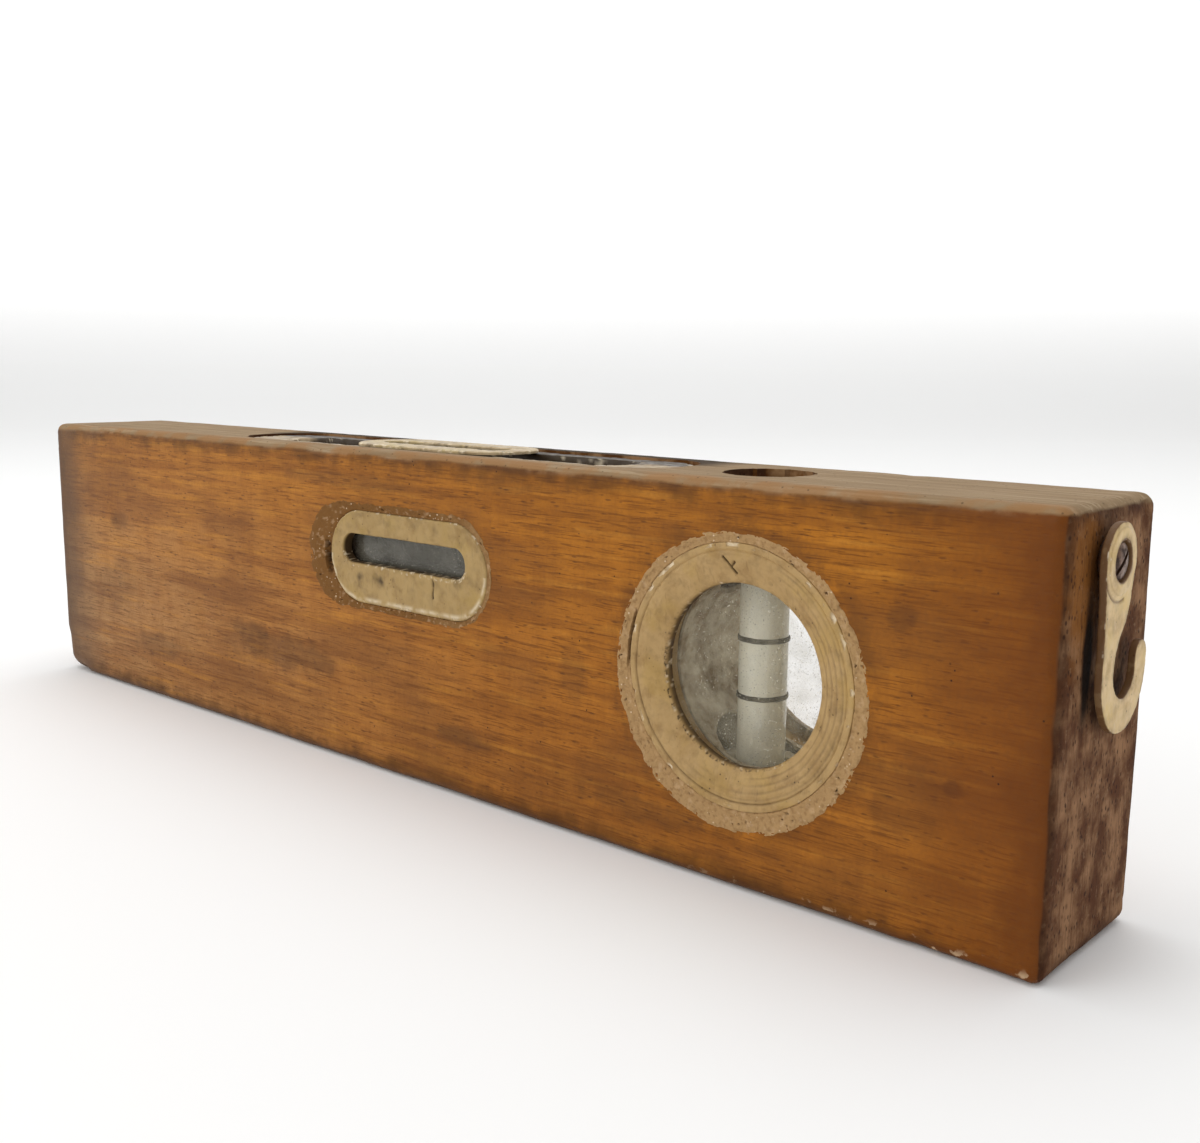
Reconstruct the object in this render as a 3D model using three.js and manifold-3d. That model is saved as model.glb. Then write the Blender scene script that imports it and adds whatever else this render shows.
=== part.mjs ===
// A carpenter's wooden spirit level, in millimetres, +Z up.
// The origin is the centre of the base face. +X runs along the block to the end that has the
// hanging hook, the front face is at -Y, and the level vial lies along X.

import * as THREE from 'three';
import { mergeVertices } from 'three/addons/utils/BufferGeometryUtils.js';
import Module from 'manifold-3d';

// ---------- driving dimensions ----------

const GAP = 0.2; // clearance between pieces that are fitted together
const CUT_GAP = 0.3; // clearance between a piece and the neighbour that its hole is cut for
const PAST = 1; // how far a cutter runs past the face that it opens

const BLOCK = { length: 250, thick: 29, height: 60, edge: 1.6, corner: 2.2, worn_corner: 4.6 };
const FACE_Y = BLOCK.thick / 2;
const END_X = BLOCK.length / 2;

// the side window of the level vial: a slotted bezel set in putty, with a pane behind it
const SLOT = { x: 3.8, z: 41.5, length: 33.4, height: 5.4 };
const BEZEL = { x: 4.8, z: 40.05, length: 42.8, height: 17.3, depth: 2.2, proud: 0.1, bevel: 0.3 };
const SLOT_RECESS = { x: 2.3, z: 40.2, length: 49.8, height: 19.6, depth: 2.3 };
const PANE = { length: 37.6, height: 9.6, thick: 1.2, front: 2.5 };
const PANE_REBATE_DEPTH = 3.9;
const SIGHT_HOLE = { length: 35, height: 7.4 };

// the round window of the plumb vial
const PORT = { x: 77.6, z: 31.6, rear_z: 30.8, bore_z: 31.3, opening_r: 13.6, ring_r: 19.7, bore_r: 15.2 };
const PORT_RECESS = { x: 77.5, z: 30.8, radius: 21.8, depth: 6.8 };
const RING_DEPTH = 6.6;
const WINDOW = { radius: 15.3, seat_r: 15.6, seat: 2.8, front: 3, back: 4.2 };

// the plates let into the top face
const TOP_FRAME = { length: 114, width: 19, open_length: 90, open_width: 10, bottom: 57.2, top: 59.6 };
const SIGHT_PLATE = { length: 42, width: 17, slot_length: 33, slot_width: 5.6, bottom: 59.85, top: 60.45 };
const MORTISE = { length: 94, width: 12, floor: 35 };

// the vials: a glass tube closed at one end, a sealing tip in its other end, liquid and a bubble
const LEVEL = { z: 42, radius: 4.6, bore: 3.7, half: 29, mark_x: 7.5, travel: 12 };
const LEVEL_BUBBLE = { half_length: 6, half_width: 2.6, half_height: 1.5 };
const LEVEL_BED = { inner: 23.5, outer: 31.5, top: 49 };
const PLUMB = { x: 72.6, radius: 3.8, bore: 3, bottom: 10.5, top: 51, marks_z: [25.7, 34.7] };
const PLUMB_BUBBLE = { z: 43.4, half_length: 4.2, radius: 1.8, travel: 24 };
const PLUMB_BORE = { radius: 7, floor: 8 };
const PLUMB_BED = { lower_top: 15.5, upper_bottom: 47, upper_top: 50.4 };
const MARK = { width: 0.8, clear: 0.06, thick: 0.22 };
const TIP_SHANK = 3; // how far a sealing tip reaches into its tube

// the hanging hook on the +X end, in the YZ plane
const HOOK = { back: 1.2, thick: 1, bevel: 0.25, boss: 0.2 };
const EYE = { y: -3.1, z: 52.8, radius: 4.9, boss_r: 4.2, hole_r: 1.75, counterbore_r: 2.6, seat: 1.7 };
const BIGHT = { y: 0.3, z: 38.5, inner_r: 3.6, outer_y: 7.4, outer_z: 8.2 };
const HOOK_TIP = { y: 5.75, z: 39.8, radius: 1.85 };
const SCREW = { head_r: 2.3, head_seat: 1.85, head_top: 2.4, shank_r: 1.3, core_r: 1.05, tip: 12, pitch: 1.1 };
const PILOT = { radius: 1.5, depth: 12.5 };
const WASHER = { inner_r: 1.55, outer_r: 3.1, back: 0.1, front: 1 };

// ---------- materials ----------

function material(colour, roughness, metalness = 0, opacity = 1) {
  return new THREE.MeshStandardMaterial({
    color: colour, roughness, metalness, opacity, transparent: opacity < 1,
  });
}

const MATERIALS = {
  wood: material(0x95602a, 0.5),
  plastic: material(0xc4b083, 0.5),
  putty: material(0x8d7350, 0.9),
  glass: material(0xb9c0bd, 0.1, 0, 0.35),
  liquid: material(0xd8dcb0, 0.05, 0, 0.5),
  bubble: material(0xf2f4ee, 0.05, 0, 0.5),
  mark: material(0x24241f, 0.7),
  plaster: material(0xcdc6b4, 0.95),
  steel: material(0x8f8a84, 0.35, 1),
};

// ---------- geometry helpers ----------

const wasm = await Module();
wasm.setup();

function toSolid(geometry) {
  const bare = geometry.clone();
  bare.deleteAttribute('normal');
  bare.deleteAttribute('uv');
  const merged = mergeVertices(bare);
  return new wasm.Manifold(new wasm.Mesh({
    numProp: 3,
    vertProperties: new Float32Array(merged.attributes.position.array),
    triVerts: new Uint32Array(merged.index.array),
  }));
}

function toGeometry(solid) {
  const mesh = solid.getMesh();
  const geometry = new THREE.BufferGeometry();
  geometry.setAttribute('position', new THREE.BufferAttribute(mesh.vertProperties, 3));
  geometry.setIndex(new THREE.BufferAttribute(mesh.triVerts, 1));
  geometry.computeVertexNormals();
  return geometry;
}

function cut(geometry, cutters) {
  let solid = toSolid(geometry);
  for (const cutter of cutters) {
    solid = solid.subtract(toSolid(cutter));
  }
  return toGeometry(solid);
}

// a shape with straight long sides and round ends
function stadium(length, height, x = 0, y = 0, Type = THREE.Shape) {
  const radius = height / 2;
  const reach = length / 2 - radius;
  const outline = new Type();
  outline.moveTo(x - reach, y - radius);
  outline.lineTo(x + reach, y - radius);
  outline.absarc(x + reach, y, radius, -Math.PI / 2, Math.PI / 2, false);
  outline.lineTo(x - reach, y + radius);
  outline.absarc(x - reach, y, radius, Math.PI / 2, 1.5 * Math.PI, false);
  return outline;
}

function circle(radius, x = 0, y = 0, Type = THREE.Shape) {
  const outline = new Type();
  outline.absarc(x, y, radius, 0, 2 * Math.PI, false);
  return outline;
}

function withHole(shape, hole) {
  shape.holes.push(hole);
  return shape;
}

// a flat plate of the shape, from low to high along Z, with its edges rounded off in steps
function plateZ(shape, low, high, bevel = 0, segments = 6, steps = 1) {
  const geometry = new THREE.ExtrudeGeometry(shape, {
    depth: high - low - 2 * bevel,
    bevelEnabled: bevel > 0,
    bevelThickness: bevel,
    bevelSize: bevel,
    bevelOffset: -bevel,
    bevelSegments: steps,
    curveSegments: segments,
  });
  return geometry.translate(0, 0, low + bevel);
}

// the same with the shape in the XZ plane, from low to high along Y
function plateY(shape, low, high, bevel = 0, segments = 6, steps = 1) {
  return plateZ(shape, -high, -low, bevel, segments, steps).rotateX(Math.PI / 2);
}

// the same with the shape in the YZ plane, from low to high along X
function plateX(shape, low, high, bevel = 0, segments = 6, steps = 1) {
  const turn = new THREE.Matrix4().makeBasis(
    new THREE.Vector3(0, 1, 0), new THREE.Vector3(0, 0, 1), new THREE.Vector3(1, 0, 0),
  );
  return plateZ(shape, low, high, bevel, segments, steps).applyMatrix4(turn);
}

// a solid of revolution: the profile is a list of [radius, height], anticlockwise
function revolve(profile, segments = 16) {
  return new THREE.LatheGeometry(profile.map(([r, h]) => new THREE.Vector2(r, h)), segments);
}

function revolveZ(profile, segments = 16) {
  return revolve(profile, segments).rotateX(Math.PI / 2);
}

function revolveX(profile, segments = 16) {
  return revolve(profile, segments).rotateZ(-Math.PI / 2);
}

// points on an arc of a profile, from one angle to another, about (r, h)
function arcPoints(r, h, radius, from, to, steps) {
  return Array.from({ length: steps + 1 }, (_, i) => {
    const angle = from + (to - from) * i / steps;
    return [r + radius * Math.cos(angle), h + radius * Math.sin(angle)];
  });
}

const level = new THREE.Group();

function add(name, slot, geometry, x = 0, y = 0, z = 0) {
  const mesh = new THREE.Mesh(geometry, MATERIALS[slot]);
  mesh.name = name;
  mesh.position.set(x, y, z);
  level.add(mesh);
}

// ---------- the block ----------

// the side outline of the block: all corners are eased, and the lower one at -X is worn rounder
function blockOutline() {
  const { corner, worn_corner: worn, height } = BLOCK;
  const outline = new THREE.Shape();
  outline.moveTo(-END_X + worn, 0);
  outline.lineTo(END_X - corner, 0);
  outline.absarc(END_X - corner, corner, corner, -Math.PI / 2, 0, false);
  outline.lineTo(END_X, height - corner);
  outline.absarc(END_X - corner, height - corner, corner, 0, Math.PI / 2, false);
  outline.lineTo(-END_X + corner, height);
  outline.absarc(-END_X + corner, height - corner, corner, Math.PI / 2, Math.PI, false);
  outline.lineTo(-END_X, worn);
  outline.absarc(-END_X + worn, worn, worn, Math.PI, 1.5 * Math.PI, false);
  return outline;
}

// what is cut from one side face: the recesses of the slotted window and of the round one
function sideCutters(side) {
  const { x, z, length, height, depth } = SLOT_RECESS;
  const from = (inner, outer) => (side < 0 ? [-outer, -inner] : [inner, outer]);
  const mouth = FACE_Y + PAST;
  return [
    plateY(stadium(length, height, x, z), ...from(FACE_Y - depth, mouth)),
    plateY(
      stadium(PANE.length + 2 * GAP, PANE.height + 2 * GAP, SLOT.x, SLOT.z),
      ...from(FACE_Y - PANE_REBATE_DEPTH, mouth),
    ),
    plateY(
      circle(PORT_RECESS.radius, PORT_RECESS.x, PORT_RECESS.z),
      ...from(FACE_Y - PORT_RECESS.depth, mouth), 0, 20,
    ),
  ];
}

function block() {
  const through = FACE_Y + PAST;
  const above = BLOCK.height + PAST;
  const frameRecess = stadium(TOP_FRAME.length + 2 * GAP, TOP_FRAME.width + 2 * GAP);
  const pilot = circle(PILOT.radius, EYE.y, EYE.z);
  return cut(plateY(blockOutline(), -FACE_Y, FACE_Y, BLOCK.edge, 2, 2), [
    ...sideCutters(-1),
    ...sideCutters(1),
    plateY(stadium(SIGHT_HOLE.length, SIGHT_HOLE.height, SLOT.x, SLOT.z), -through, through),
    plateY(circle(PORT.bore_r, PORT.x, PORT.bore_z), -through, through, 0, 16),
    plateZ(frameRecess, TOP_FRAME.bottom - GAP, above),
    plateZ(stadium(MORTISE.length, MORTISE.width), MORTISE.floor, above),
    plateZ(circle(PLUMB_BORE.radius, PLUMB.x, 0), PLUMB_BORE.floor, above, 0, 10),
    plateX(pilot, END_X - PILOT.depth, END_X + PAST, 0, 5),
  ]);
}

// ---------- the windows in the side faces ----------

function slotBezel(side) {
  const { x, z, length, height, depth, proud, bevel } = BEZEL;
  const shape = withHole(
    stadium(length, height, x, z),
    stadium(SLOT.length, SLOT.height, SLOT.x, SLOT.z, THREE.Path),
  );
  const inner = FACE_Y + proud - depth;
  const outer = FACE_Y + proud;
  return side < 0 ? plateY(shape, -outer, -inner, bevel) : plateY(shape, inner, outer, bevel);
}

function slotPutty(side) {
  const { x, z, length, height, depth } = SLOT_RECESS;
  const shape = withHole(
    stadium(length - 2 * GAP, height - 2 * GAP, x, z),
    stadium(BEZEL.length + 2 * GAP, BEZEL.height + 2 * GAP, BEZEL.x, BEZEL.z, THREE.Path),
  );
  const inner = FACE_Y - depth + GAP;
  return side < 0 ? plateY(shape, -FACE_Y, -inner) : plateY(shape, inner, FACE_Y);
}

function slotPane(side) {
  const shape = stadium(PANE.length, PANE.height, SLOT.x, SLOT.z);
  const outer = FACE_Y - PANE.front;
  const inner = outer - PANE.thick;
  return side < 0 ? plateY(shape, -outer, -inner) : plateY(shape, inner, outer);
}

// the ring's outward face is at height 0: a crest, a step groove, then a dish down to the opening
function portRing() {
  const { ring_r: outer, opening_r: inner } = PORT;
  return revolve([
    [WINDOW.seat_r, -RING_DEPTH],
    [outer, -RING_DEPTH],
    [outer, -0.25],
    [outer - 0.2, 0],
    [outer - 0.8, 0],
    [outer - 1.2, -0.45],
    [outer - 1.6, -0.12],
    [outer - 2.7, -0.2],
    [outer - 4.4, -0.75],
    [inner + 0.5, -1.25],
    [inner, -1.6],
    [inner, -WINDOW.seat],
    [WINDOW.seat_r, -WINDOW.seat],
    [WINDOW.seat_r, -RING_DEPTH],
  ], 32);
}

function portWindow() {
  const { radius, front, back } = WINDOW;
  return revolve([[0, -back], [radius, -back], [radius, -front], [0, -front]], 28);
}

// the round recess is a little lower than the ring in it, so the putty is widest below the ring
function portPutty(side, ringZ) {
  const shape = withHole(
    circle(PORT_RECESS.radius - GAP, PORT_RECESS.x, PORT_RECESS.z),
    circle(PORT.ring_r + GAP, PORT.x, ringZ, THREE.Path),
  );
  const outer = FACE_Y - 0.1;
  const inner = FACE_Y - RING_DEPTH;
  return side < 0 ? plateY(shape, -outer, -inner, 0, 16) : plateY(shape, inner, outer, 0, 16);
}

function addSideWindows() {
  for (const [prefix, side, ringZ] of [['front', -1, PORT.z], ['rear', 1, PORT.rear_z]]) {
    const turn = side < 0 ? Math.PI : 0;
    add(`${prefix}_slot_bezel`, 'plastic', slotBezel(side));
    add(`${prefix}_slot_putty`, 'putty', slotPutty(side));
    add(`${prefix}_slot_pane`, 'glass', slotPane(side));
    add(`${prefix}_port_ring`, 'plastic', portRing().rotateZ(turn), PORT.x, side * FACE_Y, ringZ);
    add(`${prefix}_port_putty`, 'putty', portPutty(side, ringZ));
    add(`${prefix}_port_window`, 'glass', portWindow().rotateZ(turn), PORT.x, side * FACE_Y, ringZ);
  }
}

// ---------- the plates in the top face ----------

function topFrame() {
  const { length, width, open_length: openLength, open_width: openWidth, bottom, top } = TOP_FRAME;
  const shape = withHole(
    stadium(length, width),
    stadium(openLength, openWidth, 0, 0, THREE.Path),
  );
  return plateZ(shape, bottom, top, 0.25);
}

function sightPlate() {
  const { length, width, slot_length: slotLength, slot_width: slotWidth, bottom, top } = SIGHT_PLATE;
  const shape = withHole(
    stadium(length, width),
    stadium(slotLength, slotWidth, 0, 0, THREE.Path),
  );
  return plateZ(shape, bottom, top, 0.3);
}

// ---------- the vials ----------

// a glass tube of the given length from height 0, its lower end closed and round
function glassTube(radius, bore, length) {
  const wall = radius - bore;
  return [
    ...arcPoints(0, radius, radius, -Math.PI / 2, 0, 4),
    [radius, length],
    [bore, length],
    ...arcPoints(0, bore + wall, bore, 0, -Math.PI / 2, 4),
  ];
}

// the glass drawn to a point that seals the open end, at height 0, of a tube of that bore
function sealingTip(radius, bore) {
  const shank = bore - GAP;
  return [
    [0, -TIP_SHANK],
    [shank, -TIP_SHANK],
    [shank, GAP],
    [radius - 0.5, GAP],
    [radius - 0.8, 0.9],
    [1, 1.6],
    [0.5, 2.4],
    [0, 2.5],
  ];
}

function markRing(radius) {
  const inner = radius + MARK.clear;
  const half = MARK.width / 2;
  return [
    [inner, -half],
    [inner + MARK.thick, -half],
    [inner + MARK.thick, half],
    [inner, half],
    [inner, -half],
  ];
}

// the liquid, open along the top where the bubble runs to and fro
function levelLiquid() {
  const radius = LEVEL.bore - GAP;
  const left = -LEVEL.half + LEVEL.radius;
  const right = LEVEL.half - TIP_SHANK - CUT_GAP;
  const floor = bubbleZ() - LEVEL.z - LEVEL_BUBBLE.half_height - CUT_GAP;
  const run = LEVEL.travel + LEVEL_BUBBLE.half_length + CUT_GAP;
  const side = LEVEL_BUBBLE.half_width + CUT_GAP;
  const path = new THREE.BoxGeometry(2 * run, 2 * side, 2 * LEVEL.bore);
  path.translate(0, 0, floor + LEVEL.bore);
  return cut(revolveX([[0, left], [radius, left], [radius, right], [0, right]]), [path]);
}

// the bubble's centre: it lies against the top of the bore
function bubbleZ() {
  return LEVEL.z + LEVEL.bore - LEVEL_BUBBLE.half_height - CUT_GAP;
}

// a plaster bed that holds one end of the level vial in the mortise
function levelBed(side) {
  const low = side < 0 ? -LEVEL_BED.outer : LEVEL_BED.inner;
  const high = side < 0 ? -LEVEL_BED.inner : LEVEL_BED.outer;
  const bottom = MORTISE.floor + GAP;
  const bed = new THREE.BoxGeometry(high - low, MORTISE.width - 2 * GAP, LEVEL_BED.top - bottom);
  bed.translate((low + high) / 2, 0, (LEVEL_BED.top + bottom) / 2);
  const seat = circle(LEVEL.radius + CUT_GAP, 0, LEVEL.z);
  return cut(bed, [plateX(seat, low - PAST, high + PAST)]);
}

function addLevelVial() {
  const { z, radius, bore, half, mark_x: markX } = LEVEL;
  add('level_vial', 'glass', revolveX(glassTube(radius, bore, 2 * half)), -half, 0, z);
  add('level_vial_tip', 'glass', revolveX(sealingTip(radius, bore), 12), half, 0, z);
  add('level_liquid', 'liquid', levelLiquid(), 0, 0, z);
  const bubble = new THREE.SphereGeometry(1, 12, 8);
  bubble.scale(LEVEL_BUBBLE.half_length, LEVEL_BUBBLE.half_width, LEVEL_BUBBLE.half_height);
  add('level_bubble', 'bubble', bubble, 0, 0, bubbleZ());
  for (const [suffix, side] of [['left', -1], ['right', 1]]) {
    add(`level_mark_${suffix}`, 'mark', revolveX(markRing(radius)), side * markX, 0, z);
    add(`level_bed_${suffix}`, 'plaster', levelBed(side));
  }
}

// the liquid is a cup, because the bubble runs from end to end along the middle of the tube
function plumbLiquid() {
  const outer = PLUMB.bore - GAP;
  const inner = PLUMB_BUBBLE.radius + GAP;
  const bottom = PLUMB.bottom + PLUMB.radius;
  const cup = PLUMB_BUBBLE.z - PLUMB_BUBBLE.travel - PLUMB_BUBBLE.half_length - CUT_GAP;
  const top = PLUMB.top - TIP_SHANK - CUT_GAP;
  return revolveZ([[0, bottom], [outer, bottom], [outer, top], [inner, top], [inner, cup], [0, cup]]);
}

function plumbBeds() {
  const outer = PLUMB_BORE.radius - GAP;
  const inner = PLUMB.radius + CUT_GAP;
  const { lower_top: lowerTop, upper_bottom: upperBottom, upper_top: upperTop } = PLUMB_BED;
  const floor = PLUMB_BORE.floor + GAP;
  const seat = PLUMB.bottom - CUT_GAP;
  return {
    lower: [[0, floor], [outer, floor], [outer, lowerTop], [inner, lowerTop], [inner, seat], [0, seat]],
    upper: [
      [inner, upperBottom], [outer, upperBottom], [outer, upperTop], [inner, upperTop],
      [inner, upperBottom],
    ],
  };
}

function addPlumbVial() {
  const { x, radius, bore, bottom, top, marks_z: [lowMark, highMark] } = PLUMB;
  add('plumb_vial', 'glass', revolveZ(glassTube(radius, bore, top - bottom)), x, 0, bottom);
  add('plumb_vial_tip', 'glass', revolveZ(sealingTip(radius, bore), 12), x, 0, top);
  add('plumb_liquid', 'liquid', plumbLiquid(), x);
  const bubble = new THREE.SphereGeometry(1, 12, 8).rotateX(Math.PI / 2);
  bubble.scale(PLUMB_BUBBLE.radius, PLUMB_BUBBLE.radius, PLUMB_BUBBLE.half_length);
  add('plumb_bubble', 'bubble', bubble, x, 0, PLUMB_BUBBLE.z);
  add('plumb_mark_lower', 'mark', revolveZ(markRing(radius)), x, 0, lowMark);
  add('plumb_mark_upper', 'mark', revolveZ(markRing(radius)), x, 0, highMark);
  const beds = plumbBeds();
  add('plumb_bed_lower', 'plaster', revolveZ(beds.lower), x);
  add('plumb_bed_upper', 'plaster', revolveZ(beds.upper), x);
}

// ---------- the hanging hook ----------

// eye over the top, down the waisted shank, round the inside of the bight, over the tip, and back
function hookOutline() {
  const { y: eyeY, z: eyeZ, radius } = EYE;
  const { y, z, inner_r: inner, outer_y: outerY, outer_z: outerZ } = BIGHT;
  const waistZ = (eyeZ + z) / 2;
  const outline = new THREE.Shape();
  outline.moveTo(eyeY - radius, eyeZ);
  outline.absarc(eyeY, eyeZ, radius, Math.PI, -0.25, true);
  outline.bezierCurveTo(eyeY + radius - 1, eyeZ - 4, y + 0.6, waistZ + 1.2, y - 0.9, waistZ - 1);
  outline.quadraticCurveTo(y - inner, z + 3.6, y - inner, z);
  outline.absarc(y, z, inner, Math.PI, 2 * Math.PI, false);
  outline.lineTo(HOOK_TIP.y - HOOK_TIP.radius, HOOK_TIP.z);
  outline.absarc(HOOK_TIP.y, HOOK_TIP.z, HOOK_TIP.radius, Math.PI, 0, true);
  outline.absellipse(y, z, outerY, outerZ, 0, Math.PI, true, 0);
  outline.bezierCurveTo(y - outerY, z + 4, eyeY - radius + 1.2, waistZ, eyeY - radius, eyeZ);
  return outline;
}

function hook() {
  const back = END_X + HOOK.back;
  const front = back + HOOK.thick;
  const bossShape = circle(EYE.boss_r, EYE.y, EYE.z);
  const body = toSolid(plateX(hookOutline(), back, front, HOOK.bevel, 5));
  const boss = toSolid(plateX(bossShape, back + HOOK.bevel, front + HOOK.boss, HOOK.boss, 10));
  return cut(toGeometry(body.add(boss)), [
    plateX(circle(EYE.hole_r, EYE.y, EYE.z), END_X, front + PAST, 0, 8),
    plateX(circle(EYE.counterbore_r, EYE.y, EYE.z), END_X + EYE.seat, front + PAST, 0, 8),
  ]);
}

// a slotted round-head wood screw along X, its thread shown as ridges, ending in a point
function hookScrew() {
  const { head_r: headR, head_seat: seat, head_top: top, shank_r: shankR, core_r: coreR, tip, pitch } = SCREW;
  const thread = [];
  for (let x = -tip + 2; x < -2; x += pitch) {
    thread.push([coreR, x], [shankR, x + pitch / 2]);
  }
  const profile = [
    [0, -tip],
    ...thread,
    [coreR, -1.8],
    [shankR, -1],
    [shankR, seat],
    [headR, seat],
    [headR - 0.1, seat + 0.2],
    [headR - 0.9, top - 0.1],
    [0, top],
  ];
  const slot = new THREE.BoxGeometry(1, 0.6, 2 * headR + PAST);
  slot.translate(top + 0.1, 0, 0);
  slot.rotateX(0.7);
  return cut(revolveX(profile, 12), [slot]);
}

function hookWasher() {
  const { inner_r: inner, outer_r: outer, back, front } = WASHER;
  return revolveX([[inner, back], [outer, back], [outer, front], [inner, front], [inner, back]]);
}

// ---------- assembly ----------

add('body', 'wood', block());
addSideWindows();
add('top_frame', 'plastic', topFrame());
add('sight_plate', 'plastic', sightPlate());
addLevelVial();
addPlumbVial();
add('hook', 'plastic', hook());
add('hook_screw', 'steel', hookScrew(), END_X, EYE.y, EYE.z);
add('hook_washer', 'steel', hookWasher(), END_X, EYE.y, EYE.z);

export default level;
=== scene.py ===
"""Looks of the wooden spirit level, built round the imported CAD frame. Lengths here are in millimetres
until a mesh is made, and metres after that."""
import math

import bmesh
import bpy
import numpy as np
from mathutils import Matrix, Vector, noise


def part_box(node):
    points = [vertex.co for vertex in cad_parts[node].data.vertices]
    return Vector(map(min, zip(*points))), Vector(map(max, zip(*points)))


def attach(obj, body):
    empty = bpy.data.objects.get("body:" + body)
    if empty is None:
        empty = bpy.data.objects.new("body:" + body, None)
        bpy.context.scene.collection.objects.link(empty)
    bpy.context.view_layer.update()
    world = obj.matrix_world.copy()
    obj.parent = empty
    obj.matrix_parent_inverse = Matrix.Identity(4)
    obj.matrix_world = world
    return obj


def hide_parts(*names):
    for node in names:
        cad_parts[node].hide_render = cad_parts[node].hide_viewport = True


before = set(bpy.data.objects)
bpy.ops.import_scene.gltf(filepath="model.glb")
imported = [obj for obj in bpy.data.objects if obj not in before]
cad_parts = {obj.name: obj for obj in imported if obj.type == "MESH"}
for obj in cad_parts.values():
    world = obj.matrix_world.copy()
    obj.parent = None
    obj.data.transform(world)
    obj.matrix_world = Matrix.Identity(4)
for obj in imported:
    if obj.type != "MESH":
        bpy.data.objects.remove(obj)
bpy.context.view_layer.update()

MM = 0.001
NOISE_SEED = 11
noise.seed_set(NOISE_SEED)  # without it, vector noise differs from run to run


# ---------- places, read from the frame ----------

class Box:
    """A CAD node's box in millimetres."""

    def __init__(self, node):
        low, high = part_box(node)
        self.low = np.array(low) / MM
        self.high = np.array(high) / MM
        self.centre = (self.low + self.high) / 2
        self.size = self.high - self.low


BODY = Box("body")
HALF_X, HALF_Y = BODY.high[0], BODY.high[1]
HEIGHT = BODY.high[2]


# ---------- mesh helpers ----------

def face_out(piece, sharp_angle=40):
    build = bmesh.new()
    build.from_mesh(piece.data)
    bmesh.ops.recalc_face_normals(build, faces=build.faces)
    build.to_mesh(piece.data)
    build.free()
    smooth(piece, sharp_angle)
    return piece


def mesh_object(name, vertices, faces, sharp_angle=35):
    """A new object from points in millimetres, smooth but for edges sharper than the angle."""
    mesh = bpy.data.meshes.new(name)
    mesh.from_pydata((np.asarray(vertices, float) * MM).tolist(), [], [list(f) for f in faces])
    mesh.validate()
    piece = bpy.data.objects.new(name, mesh)
    bpy.context.scene.collection.objects.link(piece)
    smooth(piece, sharp_angle)
    return piece


def smooth(piece, sharp_angle=35):
    mesh = piece.data
    mesh.shade_smooth()
    mesh.set_sharp_from_angle(angle=math.radians(sharp_angle))


def points_of(piece):
    points = np.empty(len(piece.data.vertices) * 3)
    piece.data.vertices.foreach_get("co", points)
    return points.reshape(-1, 3) / MM


def set_points(piece, points):
    piece.data.vertices.foreach_set("co", (np.asarray(points) * MM).ravel())
    piece.data.update()


def apply_modifiers(piece):
    graph = bpy.context.evaluated_depsgraph_get()
    mesh = bpy.data.meshes.new_from_object(piece.evaluated_get(graph))
    piece.modifiers.clear()
    old = piece.data
    piece.data = mesh
    mesh.name = piece.name
    bpy.data.meshes.remove(old)
    return piece


def combine(piece, others, operation="DIFFERENCE"):
    """Subtracts the others from the piece, or unites them with it, and deletes them."""
    for other in others:
        modifier = piece.modifiers.new("combine", "BOOLEAN")
        modifier.operation = operation
        modifier.solver = "EXACT"
        modifier.object = other
        apply_modifiers(piece)
        bpy.data.objects.remove(other)
    return piece


def remesh(piece, voxel, relax=0, sharp_angle=60):
    """An even mesh of small quads, in millimetres, with its edges relaxed that many times."""
    modifier = piece.modifiers.new("remesh", "REMESH")
    modifier.mode = "VOXEL"
    modifier.voxel_size = voxel * MM
    if relax:
        modifier = piece.modifiers.new("relax", "SMOOTH")
        modifier.factor = 0.5
        modifier.iterations = relax
    apply_modifiers(piece)
    smooth(piece, sharp_angle)
    return piece


def wobble(points, wave, amount, seed=0.0, octaves=3):
    """Offsets of noise for each point: wave is the size of its lumps in millimetres."""
    shift = Vector((seed * 17.3, seed * 9.1, seed * 5.7))
    offsets = [noise.turbulence_vector(Vector(p) / wave + shift, octaves, False) for p in points]
    return np.array([tuple(o) for o in offsets]) * amount


def bumps(points, wave, seed=0.0, octaves=3):
    """One number of noise for each point, from about -1 to 1."""
    shift = Vector((seed * 17.3, seed * 9.1, seed * 5.7))
    return np.array([noise.fractal(Vector(p) / wave + shift, 1.0, 2.0, octaves) for p in points])


def near_line(flat, corners):
    """How far each point (u, v) is from a broken line through the corners, in millimetres."""
    points = flat[:, :2]
    nearest = np.full(len(points), np.inf)
    for start, end in zip(corners[:-1], corners[1:]):
        start, way = np.array(start, float), np.array(end, float) - start
        along = np.clip((points - start) @ way / (way @ way), 0, 1)
        nearest = np.minimum(nearest, np.linalg.norm(points - start - along[:, None] * way, axis=1))
    return nearest


def near_spot(flat, centre, reach):
    """1 at the centre (u, v), falling to 0 at that reach."""
    away = np.hypot(flat[:, 0] - centre[0], flat[:, 1] - centre[1]) / reach
    return clip(1 - away ** 2)


def clip(values):
    """The values, held between 0 and 1."""
    return np.clip(values, 0, 1)


def spots(points, wave, seed, least, gain, octaves=4):
    """0 where the noise is under least, rising steeply to 1 above it."""
    return clip((bumps(points, wave, seed, octaves) - least) * gain)


def band(values, middle, width):
    """1 where a value is the middle one, fading to 0 on both sides over about that width."""
    return np.exp(-((values - middle) / width) ** 2)


def crack_marks(flat, cracks, width, wander, wave, seed):
    """1 along each broken line, fading over that width. Its edges wander by that much."""
    marks = np.zeros(len(flat))
    for line in cracks:
        away = near_line(flat, line) + wander * bumps(flat, wave, seed)
        marks = np.maximum(marks, band(away, 0, width))
    return marks


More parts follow.
